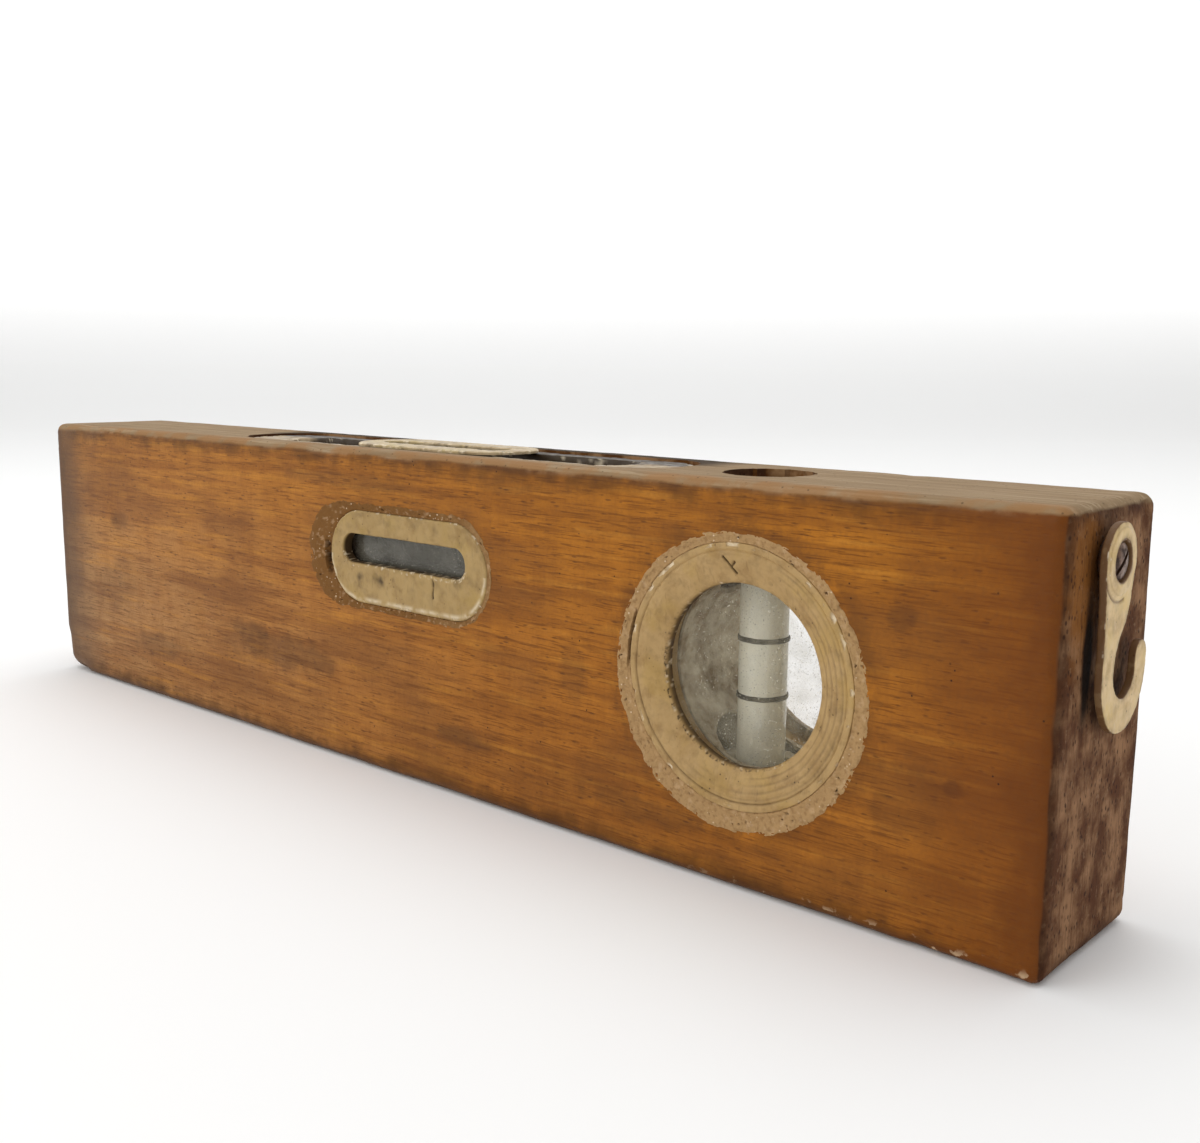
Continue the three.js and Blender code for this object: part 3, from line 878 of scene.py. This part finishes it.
def side_windows():
    for prefix, place, seed in (("front", on_front, 11), ("rear", on_rear, 31)):
        front = prefix == "front"
        slot_bezel(prefix, place, seed, BEZEL_CRACKS if front else [])
        port_ring(prefix, place, seed + 1, RING_CRACKS if front else [])
        slot_dress = putty_dress(seed + 2, SLOT_CREVICE if front else None, 0.1)
        port_dress = putty_dress(seed + 3, PORT_CREVICE if front else None, 0.2)
        putty_band(prefix, "slot", "slot_bezel", 0.05, 0.15, place, slot_dress)
        putty_band(prefix, "port", "port_ring", 0.1, 0.2, place, port_dress)
        windows(prefix, place, seed + 4)


# ---------- the plates in the top face ----------

PLATE_SLOT = (33, 5.6)
FRAME_OPENING = (90, 10)


def plate_dress(seed, roughness):
    def dress(keys, flat):
        share = keys[:, 1]
        low = Box("top_frame").low[2]
        face = (share > 0.001) * (share < 0.999)
        coarse, small = bumps(flat, 3.5, seed, 4), bumps(flat, 0.9, seed + 1, 4)
        chip = spots(flat, 1.6, seed + 2, 0.3, 4) * (np.abs(share - 0.5) > 0.36)
        offsets = wobble(flat, 2.4, 0.12, seed + 3, 4)
        offsets[:, 2] = roughness * (np.abs(coarse) + 0.5 * np.abs(small) + chip) * face
        offsets[HEIGHT - flat[:, 2] < low + 0.5] = 0
        return offsets, {"dirt": clip(0.6 * small + 0.5 * coarse), "chip": chip * 0.7}
    return dress


def top_plate(name, node, opening, material, seed, roughness):
    box = Box(node)
    top, bottom = HEIGHT - box.high[2], HEIGHT - box.low[2]
    thick = bottom - top
    rows = [(0, bottom - 0.02), (0, top + 0.4 * thick), (0.03, top + 0.1 * thick)]
    rows += [(share, top) for share in np.linspace(0.07, 0.93, 16)]
    rows += [(0.97, top + 0.1 * thick), (1, top + 0.4 * thick), (1, bottom - 0.02)]
    outer = stadium((0, 0), box.size[0] - 0.3, box.size[1] - 0.3)
    piece = loft(name, stadium((0, 0), *opening), outer, rows, on_top, 480, plate_dress(seed, roughness))
    place_piece(piece, "plastic", material, node)


# ---------- the vials ----------

LEVEL_WALL, PLUMB_WALL = 0.9, 0.8
MARK_WIDTH, MARK_THICK = 0.8, 0.22
OVERLAP = 0.03  # how far the liquid reaches into the glass, so that no air shows between them
TIP_REACH = 3.05  # how far the sealed tip reaches down the bore, in millimetres
BUBBLE_BLUNTNESS = 2.4


def tube_profile(radius, bore, length):
    """A glass tube from height 0, its lower end closed and round, its open rim melted smooth."""
    wall = radius - bore
    rim = arc((radius - wall / 2, length - wall / 2), wall / 2, 0, 180, 7)
    outer, inner = arc((0, radius), radius, -90, 0, 12), arc((0, radius), bore, 0, -90, 12)
    return [(0, 0)] + outer[1:] + rim + inner[:-1] + [(0, wall)]


def tip_profile(radius, bore):
    """The drawn-out seal of a tube whose rim is at height 0."""
    shank = bore - 0.15
    shoulder = arc((radius - 1.3, 0.25), 0.9, 0, 70, 8)
    return [(0, -3), (shank - 0.3, -3), (shank, -2.7), (shank, 0.15), (radius - 0.5, 0.15)] + shoulder + [
        (1.2, 1.5), (0.75, 1.9), (0.5, 2.25), (0.2, 2.45), (0, 2.5)]


def mark_profile(radius):
    """A painted line round a tube, thickest in its middle."""
    half, top = MARK_WIDTH / 2, radius + MARK_THICK
    return [(radius + 0.03, -half), (top, -half + 0.1), (top + 0.04, 0), (top, half - 0.1),
            (radius + 0.03, half)]


def vial(axis, names, place_of_base, radius, bore, length):
    """Tube and tip along the axis. names are (prefix, tube node, tip node)."""
    prefix, tube_node, tip_node = names
    tube = revolve(f"{prefix}_glass_tube", tube_profile(radius, bore, length), place_of_base, axis, 72, 50)
    place_piece(tube, "glass", "vial", tube_node)
    rim = np.array(place_of_base, float)
    rim["XYZ".index(axis)] += length
    tip = revolve(f"{prefix}_glass_tip", tip_profile(radius, bore), rim, axis, 48, 50)
    place_piece(tip, "glass", "vial", tip_node)


def bubble(name, node):
    """An air bubble: a stretched round body, blunter at its ends than an ellipsoid."""
    box = Box(node)
    rings, steps = 20, 40
    half = box.size / 2
    long_axis = int(np.argmax(half))
    angles = np.linspace(0, math.pi, rings)
    profile = [(math.sin(a) ** (2 / BUBBLE_BLUNTNESS), -math.cos(a)) for a in angles]
    profile[0], profile[-1] = (0, -1), (0, 1)
    piece = revolve(name, profile, (0, 0, 0), "XYZ"[long_axis], steps, 60)
    set_points(piece, points_of(piece) * half + box.centre)
    place_piece(piece, "bubble", "bubble", node, body=node)


def liquid(name, node, axis, radius, low, high, base):
    profile = [(0, low)] + arc((0, low + radius), radius, -80, 0, 10)
    profile += [(radius, high - 0.2), (radius - 0.2, high), (0, high)]
    piece = revolve(name, profile, base, axis, 64, 50)
    place_piece(piece, "liquid", "liquid", node)


def rough_copy(name, node, voxel, amount, seed):
    """A CAD piece made again with fine faces and a rough surface, a little inside its own outline."""
    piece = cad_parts[node].copy()
    piece.data = piece.data.copy()
    piece.name = piece.data.name = name
    piece.parent = None
    for group in list(piece.users_collection):
        group.objects.unlink(piece)
    bpy.context.scene.collection.objects.link(piece)
    remesh(piece, voxel, 3)
    points = points_of(piece)
    normals = np.array([tuple(v.normal) for v in piece.data.vertices])
    depth = amount * (0.6 + 0.6 * bumps(points, 2.2, seed, 4) + 0.4 * bumps(points, 0.7, seed + 1))
    set_points(piece, points - normals * np.clip(depth, 0, None)[:, None])
    smooth(piece, 60)
    return piece


def vials():
    level, plumb = Box("level_vial"), Box("plumb_vial")
    sizes = [("level", "X", level.size[2] / 2, LEVEL_WALL, level.size[0], (level.low[0], 0, level.centre[2])),
             ("plumb", "Z", plumb.size[0] / 2, PLUMB_WALL, plumb.size[2], (plumb.centre[0], 0, plumb.low[2]))]
    for name, axis, radius, wall, length, base in sizes:
        vial(axis, (name, f"{name}_vial", f"{name}_vial_tip"), base, radius, radius - wall, length)
    for name, axis, radius, wall, length, base in sizes:
        liquid(f"{name}_spirit", f"{name}_liquid", axis, radius - wall + OVERLAP, wall - OVERLAP,
               length - TIP_REACH, base)
    for name in ("level", "plumb"):
        bubble(f"{name}_air_bubble", f"{name}_bubble")
    for (name, axis, radius, *_), ends in zip(sizes, (("left", "right"), ("lower", "upper"))):
        for end in ends:
            node = f"{name}_mark_{end}"
            line = revolve(f"{node}_line", mark_profile(radius), Box(node).centre, axis, 96)
            set_points(line, points_of(line) + wobble(points_of(line), 1.5, 0.05, 3))
            place_piece(line, "mark", "mark", node)
    for seed, node in enumerate(("level_bed_left", "level_bed_right", "plumb_bed_lower", "plumb_bed_upper")):
        bed = rough_copy(f"{node}_plaster", node, 0.4, 0.22, seed + 50)
        place_piece(bed, "plaster", "plaster", node)


# ---------- the hanging hook ----------

HOOK_BACK, HOOK_FRONT, BOSS_RISE = 1.2, 2.2, 0.2
EYE_R, BOSS_R, EYE_HOLE_R, COUNTERBORE_R, COUNTERBORE_FLOOR = 4.9, 4.2, 1.75, 2.6, 1.7
CREASE_R = 5.1
EYE_END = -14.3
BIGHT = (0.3, 38.5)
BIGHT_R = 3.6
BIGHT_OUTER = (7.4, 8.2)
HOOK_TIP = (5.75, 39.8)
HOOK_TIP_R = 1.85
HOOK_VOXEL = 0.12
THREAD_PITCH = 1.1
SCREW_SLOT_TILT = 40


def hook_ring(eye):
    """Eye over the top, waisted shank, round the inside of the bight, over the tip, and back."""
    y, z = BIGHT
    waist = (eye[1] + z) / 2
    after_eye = arc(eye, EYE_R, EYE_END, EYE_END, 1)[0]
    outer_y, outer_z = BIGHT_OUTER
    ring = arc(eye, EYE_R, 180, EYE_END, 40)[:-1]
    ring += bezier(after_eye, (eye[0] + EYE_R - 1, eye[1] - 4), (y + 0.6, waist + 1.2), (y - 0.9, waist - 1))
    ring += bezier((y - 0.9, waist - 1), (y - BIGHT_R, z + 3.6), (y - BIGHT_R, z))
    ring += arc(BIGHT, BIGHT_R, 180, 360, 36)
    ring += arc(HOOK_TIP, HOOK_TIP_R, 180, 0, 20)
    ring += [(y + outer_y * math.cos(a), z + outer_z * math.sin(a)) for a in np.linspace(0, -math.pi, 48)]
    left = (eye[0] - EYE_R, eye[1])
    ring += bezier((y - outer_y, z), (y - outer_y, z + 4), (left[0] + 1.2, waist), left)[1:]
    return np.array(ring)


def hook_solid(eye):
    """The hook as one even mesh: its outline, the boss round its eye, the hole and the counterbore."""
    piece = prism("swing_hook", hook_ring(eye), on_end, -HOOK_FRONT, -HOOK_BACK)
    boss = plug(circle(eye, BOSS_R), 96, on_end, -HOOK_FRONT - BOSS_RISE, -HOOK_BACK - 0.2)
    combine(piece, [boss], "UNION")
    combine(piece, [plug(circle(eye, EYE_HOLE_R), 64, on_end, -4, 1),
                    plug(circle(eye, COUNTERBORE_R), 64, on_end, -4, -COUNTERBORE_FLOOR)])
    return remesh(piece, HOOK_VOXEL, 10)


def hook():
    eye = tuple(Box("hook_screw").centre[1:])
    piece = hook_solid(eye)
    points = points_of(piece)
    facing = np.array([v.normal.x for v in piece.data.vertices])
    # painted shade: darker where the surface turns away from the end, on the side walls and rounded edges
    edge = clip((0.97 - facing) * 2.5)
    from_eye = np.hypot(points[:, 1] - eye[0], points[:, 2] - eye[1])
    crease = band(from_eye, CREASE_R, 0.2) * (facing > 0.5)
    crease = crease * (points[:, 2] < eye[1] - 2.5) * (points[:, 1] < eye[0] + 1.5)
    to_rim = near_line(points[:, 1:], hook_ring(eye))
    points[:, 0] -= 0.16 * crease
    # painted shade inside the eye's hole and counterbore
    bore = clip((COUNTERBORE_R + 0.35 - from_eye) * 3)
    nick = spots(points, 1.2, 71, 0.42, 3) * (facing > 0.2) * (facing < 0.9)
    points += wobble(points, 2.5, 0.05, 70) + wobble(points, 0.6, 0.02, 72)
    points[:, 0] = np.clip(points[:, 0], HALF_X + HOOK_BACK - 0.05, HALF_X + HOOK_FRONT + BOSS_RISE)
    set_points(piece, points)
    smooth(piece, 60)
    # painted shade along the outline and round the counterbore; with the sides, the hole and the crease
    # above, it joins a little real dirt in one layer
    shade = band(to_rim, 0, 0.5) * clip(0.45 + bumps(points, 2.2, 74))
    hollow = band(from_eye, COUNTERBORE_R, 0.7) * clip(0.4 + bumps(points, 2.0, 75))
    dirt = edge * 0.9 + bore + 0.7 * crease + shade * 0.7 + hollow * 0.8
    dirt = dirt + 0.2 * clip(bumps(points, 1.6, 73))
    paint(piece, dirt=clip(dirt), chip=nick * 0.7)
    place_piece(piece, "plastic", "hook", "hook", body="hook")


def hook_screw():
    """A slotted round-head wood screw, sunk in the eye of the hook."""
    middle = Box("hook_screw").centre
    thread = []
    for x in np.arange(-10, -2, THREAD_PITCH):
        thread += [(1.05, x), (1.05, x + 0.35), (1.3, x + 0.6), (1.3, x + 0.7)]
    head = [(1.05, -1.8), (1.3, -1), (1.3, 1.85), (2.2, 1.87), (2.28, 1.95), (2.26, 2.08), (2.0, 2.2),
            (1.5, 2.31), (0.9, 2.37), (0.4, 2.39), (0, 2.395)]
    base = (HALF_X, middle[1], middle[2])
    screw = revolve("wood_screw", [(0, -12), (0.5, -11)] + thread + head, base, "X", 72, 30)
    tilt = math.radians(SCREW_SLOT_TILT)
    along, across = np.array([math.cos(tilt), math.sin(tilt)]), np.array([-math.sin(tilt), math.cos(tilt)])
    signs = ((-1, -1), (1, -1), (1, 1), (-1, 1))
    corners = [middle[1:] + along * a * 3 + across * b * 0.32 for a, b in signs]
    combine(screw, [prism("cut_slot", np.array(corners), on_end, -3, -2.0)])
    smooth(screw, 30)
    place_piece(screw, "steel", "steel", "hook_screw")


def hook_washer():
    """The spacing washer between the hook and the end face, with rounded edges."""
    middle = Box("hook_screw").centre
    section = [((1.9, 0.45), 180, 270), ((2.8, 0.45), -90, 0), ((2.8, 0.68), 0, 90), ((1.9, 0.68), 90, 180)]
    profile = sum([arc(centre, 0.3, start, end, 4) for centre, start, end in section], [])
    spacer = revolve("spacing_washer", profile, (HALF_X, middle[1], middle[2]), "X", 72, 50)
    place_piece(spacer, "steel", "steel", "hook_washer")


# ---------- materials ----------

# dark marks on the varnish: where (x, z), how far they reach and how strong
STAINS = [
    ((-34, 18), (24, 4.5), 0.4), ((-46, 21), (10, 2.2), 0.35), ((-98, 24), (12, 8), 0.22),
    ((-96, 39), (5, 3), 0.35), ((20, 11), (9, 2.2), 0.35), ((104, 44), (2.6, 2.0), 0.35),
    ((112, 23), (2.0, 1.5), 0.6), ((46, 27), (3.5, 7), 0.25), ((-80, 12), (14, 3.4), 0.3),
    ((-12, 54), (26, 1.8), 0.3), ((60, 8), (16, 2.6), 0.35), ((30, 56), (12, 1.8), 0.3),
    ((105, 20), (9, 7), 0.3),
]


def wood():
    """Amber varnish over beech on the sides, bare grey wood on top, dark pores on the ends, and inside
    the lime-painted port bore and the other hollows, dark brown with painted shade and dirt."""
    s = Shader("beech_varnished")
    x, y, z = s.axes()
    normal_x, _, normal_z = s.axes(s.coords.outputs["Normal"])
    soft, fine = s.noise(0.12, detail=5), s.noise(1.6, detail=5)
    ends = s.fade(s.absolute(normal_x), 0.72, 0.95, soft, 0.3)
    flats = s.fade(normal_z, 0.55, 0.85, soft, 0.5)
    colour = s.mix(ends, varnish_colour(s, x, z, soft, fine), end_grain_colour(s, x, y, z))
    colour = s.mix(flats, colour, bare_top_colour(s, x, y))
    colour = s.coats(colour, ((112, 82, 55), 0.6, s.span(normal_z, -0.6, -0.9)))
    inside = s.times(s.span(s.absolute(y), HALF_Y - 0.4, HALF_Y - 1.2),
                     s.span(s.absolute(x), HALF_X - 0.6, HALF_X - 1.6),
                     s.span(z, HEIGHT - 2.6, HEIGHT - 3.2), s.span(z, 0.6, 1.6))
    in_port = s.times(s.span(distance_to_port(s, x, z), 15.9, 15.5), s.span(s.absolute(y), 13.0, 12.0))
    lime = s.mix(s.patches(0.35, 0.7, 0.5, detail=6), linear(196, 184, 160), linear(140, 120, 94))
    # the hollows: dark brown painted shade with dirt, but lime paint in the port's bore
    hollow = s.mix(in_port, s.mix(soft, linear(40, 28, 18), linear(78, 58, 40)), lime)
    colour = s.mix(inside, colour, hollow)
    bare = s.most(ends, flats, inside)
    bump = s.bump(s.noise(0.02, 1.4), 0.12, 0.35)
    bump = s.bump(s.span(s.cells(0.3, 1.3), 0.05, 0.22), 0.1, 0.35, bump)
    bump = s.bump(s.times(fine, s.span(bare, 0, 1, 0.25, 1)), 0.22, 0.6, bump)
    rough = s.span(s.math("ADD", bare, s.times(fine, 0.4)), 0.1, 1.1, 0.42, 0.85)
    return s.set(Base_Color=colour, Roughness=rough, Specular_IOR_Level=0.11, Normal=bump)


def distance_to_port(s, x, z):
    """How far a point is from the axis of the round port, in millimetres."""
    squares = [s.math("POWER", s.math("SUBTRACT", place, middle), 2.0)
               for place, middle in ((x, PORT_BORE_X), (z, PORT_BORE_Z))]
    return s.math("SQRT", s.math("ADD", *squares))


def varnish_colour(s, x, z, soft, fine):
    """The front and rear: paler and greyer on the left as a painted haze of reflected light, amber on the
    right, streaked, stained and dirty at the edges.
    """
    # painted reflection: the base colour turns paler and greyer towards the left
    along = s.span(s.math("MULTIPLY_ADD", soft, 50, x), -100, 60, soft=False)
    to_end, to_top = s.math("SUBTRACT", HALF_X, s.absolute(x)), s.math("SUBTRACT", HEIGHT, z)
    to_edge = s.least(s.times(to_end, 0.6), z, to_top)
    round_port = s.times(s.span(distance_to_port(s, x, z), 26, 21.6), s.patches(0.34, 0.6, 0.2, detail=5))
    round_slot = s.blob((-1, 41), (33, 15), 0.4, 0.16)
    return s.coats(
        s.mix(along, linear(170, 126, 76), linear(170, 106, 34)),
        ((176, 110, 26), 0.7, s.fade(z, 22, 66, soft, 14)),
        # the grain: broad streaks, threads, fine strokes, bright lines, then dark pores
        ((122, 70, 20), 0.5, s.patches(0.42, 0.62, 0.02, 0.32, detail=5, distortion=0.5)),
        ((92, 50, 14), 0.42, s.patches(0.5, 0.66, 0.09, 2.0)),
        ((96, 52, 12), 0.6, s.patches(0.54, 0.66, 0.22, 4.2, detail=3)),
        ((206, 140, 50), 0.36, s.patches(0.54, 0.7, 0.05, 0.8)),
        ((70, 38, 12), 0.6, s.specks(0.26, 0.1, 0.3, 1.3), s.patches(0.42, 0.56, 0.4, detail=2)),
        # clouds, ripples across the grain, and dirt round the windows
        ((112, 68, 30), 0.5, s.patches(0.46, 0.66, 0.03, 0.09, detail=6)),
        ((110, 62, 22), 0.16, s.patches(0.44, 0.64, 0.32, 0.05, detail=3)),
        ((84, 50, 22), 0.5, s.most(round_port, s.times(round_slot, 0.6))),
        *[((66, 44, 28), amount, s.blob(centre, reach, 0.6, 0.3)) for centre, reach, amount in STAINS],
        # dark edges and ends, the worn top corner, chips below, specks and grain
        ((74, 44, 16), 0.8, s.fade(to_edge, 1.2, -3.4, s.noise(0.22, detail=6), -7.0)),
        ((112, 58, 12), 0.72, s.fade(x, 104, 130, soft, 16)),
        ((92, 70, 52), 0.75, s.fade(x, -110, -130, soft, -16)),
        ((176, 138, 98), 0.7, s.span(to_top, 1.9, 0.5), s.patches(0.44, 0.6, 0.16, detail=6)),
        ((214, 184, 146), 0.8, s.span(z, 2.4, 0.8), s.patches(0.59, 0.66, 0.5, detail=5), s.span(x, 60, 100)),
        ((48, 30, 16), 1, s.specks(0.11, 0.05, 0.55), s.patches(0.5, 0.62, 0.2)),
        ((96, 62, 34), 0.22, s.span(fine, 0.35, 0.75)))


def end_grain_colour(s, x, y, z):
    """Purple-brown with dark pores, lighter and dirtier in clouds, orange near the upper front, with a
    painted shadow beside and under the hook.
    """
    # painted shadow: near-black in the gap beside the hook's shank, fainter under its bight
    hook_shadow = s.most(s.blob((-6.5, 40.5), (2.0, 11.5), 0.25, 0.3, "yz"),
                   s.times(s.blob((1, 37), (5, 6), 0.4, 0.4, "yz"), 0.5))
    to_edge = s.least(s.math("SUBTRACT", HALF_Y, s.absolute(y)), z, s.math("SUBTRACT", HEIGHT, z))
    return s.coats(
        s.mix(s.patches(0.36, 0.66, 0.2, detail=6), linear(88, 53, 30), linear(150, 112, 80)),
        ((134, 84, 34), 0.8, s.blob((-8, 50), (8, 13), 0.4, 0.2, "yz")),
        ((42, 24, 16), 0.85, s.specks(0.34, 0.14, 0.4, 1.3, 0.8), s.patches(0.3, 0.55, 0.25)),
        ((72, 42, 25), 0.5, s.patches(0.48, 0.66, 0.3, 2.6, 0.3, detail=5)),
        ((162, 130, 100), 0.3, s.patches(0.6, 0.7, 0.9)),
        ((20, 11, 6), 0.95, hook_shadow, s.span(x, 0, 10)),  # painted shadow of the hook, only on the end that carries it
        ((58, 34, 20), 0.75, s.fade(to_edge, 1.4, -2.0, s.noise(0.3, detail=5), -4.0)))


def far_side_darkening(s, x, y):
    """Darker along the far side of the slot in the top face."""
    return s.times(s.fade(y, 3.0, 6.0, s.noise(0.3), 5), s.span(s.absolute(x), 64, 54))


def bare_top_colour(s, x, y):
    """Grey, worn wood with pale streaks and specks, darker along the far side of the slot."""
    return s.coats(
        s.mix(s.noise(0.06, 0.5, detail=6), linear(112, 88, 60), linear(166, 143, 112)),
        ((188, 168, 138), 0.4, s.patches(0.52, 0.7, 0.03, 1.2)),
        ((150, 108, 66), 0.7, s.span(y, -9.5, -13.5), s.patches(0.38, 0.58, 0.14, detail=5)),
        ((46, 33, 22), 0.9, far_side_darkening(s, x, y)),
        ((82, 64, 46), 0.7, s.specks(0.16, 0.07, 0.7)))


def plastic(name, rgb, dirt_and_shade_rgb=(54, 36, 20), dark_side=False):
    """Aged cream plastic: mottled, scratched, brown with dirt in its hollows and with painted shade on its
    inner walls and turned-away sides, and pale where it is chipped.
    """
    s = Shader(name)

    def shade(*shares):
        return tuple(min(255, part * share) for part, share in zip(rgb, shares))

    scratch = s.patches(0.58, 0.7, 2.6, 0.4, 0.5)
    colour = s.coats(
        s.mix(s.noise(0.25, detail=6), linear(*shade(0.9, 0.87, 0.82)), linear(*shade(1.08, 1.08, 1.12))),
        (shade(0.74, 0.66, 0.54), 0.45, s.patches(0.46, 0.68, 0.3, detail=6, roughness=0.65)),
        (shade(1, 0.98, 0.8), 0.4, s.patches(0.5, 0.66, 0.16)),
        (shade(0.6, 0.55, 0.46), 0.22, scratch),
        ((62, 44, 28), 0.75, s.specks(0.16, 0.07, 0.9), s.patches(0.46, 0.6, 0.3)))
    if dark_side:
        x, y, _ = s.axes()
        colour = s.coats(colour, ((44, 32, 22), 0.9, far_side_darkening(s, x, y)))
    # the painted layer: real dirt, with painted shade on inner walls, in holes and on turned-away sides
    colour = s.coats(colour, (dirt_and_shade_rgb, 0.92, s.layer("dirt")), ((232, 216, 186), 1, s.layer("chip")))
    bump = s.bump(scratch, 0.06, 0.3, s.bump(s.noise(1.1, detail=6), 0.16, 0.35))
    rough = s.span(s.noise(0.7), 0.3, 0.7, 0.38, 0.62)
    return s.set(Base_Color=colour, Roughness=rough, Specular_IOR_Level=0.22, Normal=bump)


def putty():
    """Brown at the left, tan at the right, with pale crumbs, dirt in its pits and painted shade in its
    crevices.
    """
    s = Shader("rough_putty")
    x = s.axes()[0]
    tone = s.fade(x, 20, 64, s.noise(0.3, detail=6), 30)
    colour = s.coats(
        s.mix(tone, linear(120, 82, 40), linear(172, 138, 94)),
        ((112, 78, 44), 0.4, s.patches(0.46, 0.68, 1.4, detail=5)),
        ((214, 190, 158), 1, s.specks(0.2, 0.1, 1.1), s.patches(0.5, 0.6, 0.5)),
        ((204, 172, 134), 0.35, s.layer("chip")),
        # dirt in the pits and painted shade in the crevices
        ((34, 22, 14), 0.9, s.layer("dirt")))
    bump = s.bump(s.noise(2.2, detail=6), 0.3, 0.7)
    return s.set(Base_Color=colour, Roughness=0.92, Specular_IOR_Level=0.2, Normal=bump)


def dusty_glass(name, least, most, dust_rgb):
    """Thin glass as a clear sheet with dust on it, from least to most dense, and a painted shadow at the
    left end of the slot."""
    s = Shader(name)
    cloud = s.noise(0.18, detail=6)
    # painted shadow: dark brown and nearly opaque at the slot's left end
    left_end_shadow = s.fade(s.axes()[0], -8.5, -11.5, s.noise(0.5), 4)
    grit = s.times(s.specks(0.24, 0.09, 2.0), s.patches(0.38, 0.54, 0.3))
    alpha = s.most(s.span(cloud, 0.35, 0.7, least, most), s.times(grit, 0.75), s.times(left_end_shadow, 0.9))
    grit_colour = s.mix(s.patches(0.46, 0.52, 2.4), linear(92, 76, 56), linear(228, 222, 206))
    colour = s.coats(s.mix(grit, linear(*dust_rgb), grit_colour), ((48, 26, 14), 0.9, left_end_shadow))
    return s.set(Base_Color=colour, Alpha=alpha, Roughness=0.16, Normal=s.bump(cloud, 0.1, 0.2))


def clear_glass(name, colour, ior):
    s = Shader(name)
    red, green, blue, _ = colour
    tint = s.mix(s.patches(0.4, 0.8, 0.4, detail=5), colour, (red * 0.94, green * 0.94, blue * 0.94, 1))
    bump = s.bump(s.noise(0.25, detail=2), 0.02, 0.3)
    return s.set(Base_Color=tint, Transmission_Weight=1.0, IOR=ior, Roughness=0.02, Normal=bump)


def milky_glass():
    """Old vial glass, clouded by dirt and lime on its outside."""
    s = Shader("clouded_vial_glass")
    cloud = s.patches(0.35, 0.7, 0.25, detail=5)
    colour = s.coats(
        s.mix(cloud, (0.98, 0.96, 0.8, 1), (0.84, 0.81, 0.65, 1)),
        ((90, 74, 52), 1, s.specks(0.14, 0.06, 1.2), s.patches(0.5, 0.6, 0.4)))
    return s.set(Base_Color=colour, Transmission_Weight=s.span(cloud, 0, 1, 0.25, 0.08), IOR=1.5,
                 Roughness=0.12, Normal=s.bump(s.noise(0.3, detail=2), 0.02, 0.3))


def mark_paint():
    s = Shader("black_line_paint")
    colour = s.mix(s.noise(1.2), linear(2, 2, 2), linear(16, 14, 11))
    return s.set(Base_Color=colour, Alpha=s.patches(0.22, 0.28, 0.7, detail=6), Roughness=0.7,
                 Normal=s.bump(s.noise(3.0), 0.05))


def plaster():
    s = Shader("dry_plaster")
    colour = s.coats(
        s.mix(s.noise(0.5, detail=6), linear(160, 146, 116), linear(212, 202, 178)),
        ((112, 88, 60), 0.5, s.patches(0.5, 0.7, 0.25, detail=5)))
    return s.set(Base_Color=colour, Roughness=0.95, Normal=s.bump(s.noise(2.0, detail=6), 0.25, 0.8))


def steel():
    s = Shader("tarnished_steel")
    tarnish = s.patches(0.42, 0.66, 0.8, detail=6)
    colour = s.mix(tarnish, linear(112, 84, 66), linear(52, 30, 18))
    return s.set(Base_Color=colour, Metallic=s.span(tarnish, 0, 1, 1.0, 0.35),
                 Roughness=s.span(tarnish, 0, 1, 0.28, 0.7),
                 Normal=s.bump(s.noise(1.0, 4.0, 1.5, detail=5), 0.06, 0.5))


MATERIALS = {}


def make_materials():
    MATERIALS.update(
        wood=wood(),
        ring=plastic("aged_ring", (178, 148, 98)),
        bezel=plastic("aged_bezel", (168, 141, 90)),
        frame=plastic("frame_top", (168, 148, 116), dark_side=True),
        plate=plastic("plate_top", (190, 172, 136)),
        # the hook's brown layer is mostly painted shade on its sides, edges and hole, with a little dirt
        hook=plastic("aged_hook", (222, 196, 146), (88, 52, 22)),
        putty=putty(),
        slot_pane=dusty_glass("dusty_slot_pane", 0.4, 0.75, (104, 100, 88)),
        port_window=dusty_glass("dusty_port_window", 0.03, 0.17, (204, 194, 166)),
        vial=milky_glass(),
        liquid=clear_glass("vial_spirit", (0.93, 0.95, 0.8, 1), 1.36),
        bubble=clear_glass("air_in_spirit", (0.99, 0.99, 0.97, 1), 0.735),
        mark=mark_paint(),
        plaster=plaster(),
        steel=steel(),
    )


# ---------- assembly ----------

def main():
    make_camera()
    make_stage()
    make_lights()
    make_materials()
    wooden_block()
    side_windows()
    top_plate("long_top_frame", "top_frame", FRAME_OPENING, "frame", 41, 0.12)
    top_plate("raised_sight_plate", "sight_plate", PLATE_SLOT, "plate", 43, 0.05)
    vials()
    hook()
    hook_screw()
    hook_washer()


main()
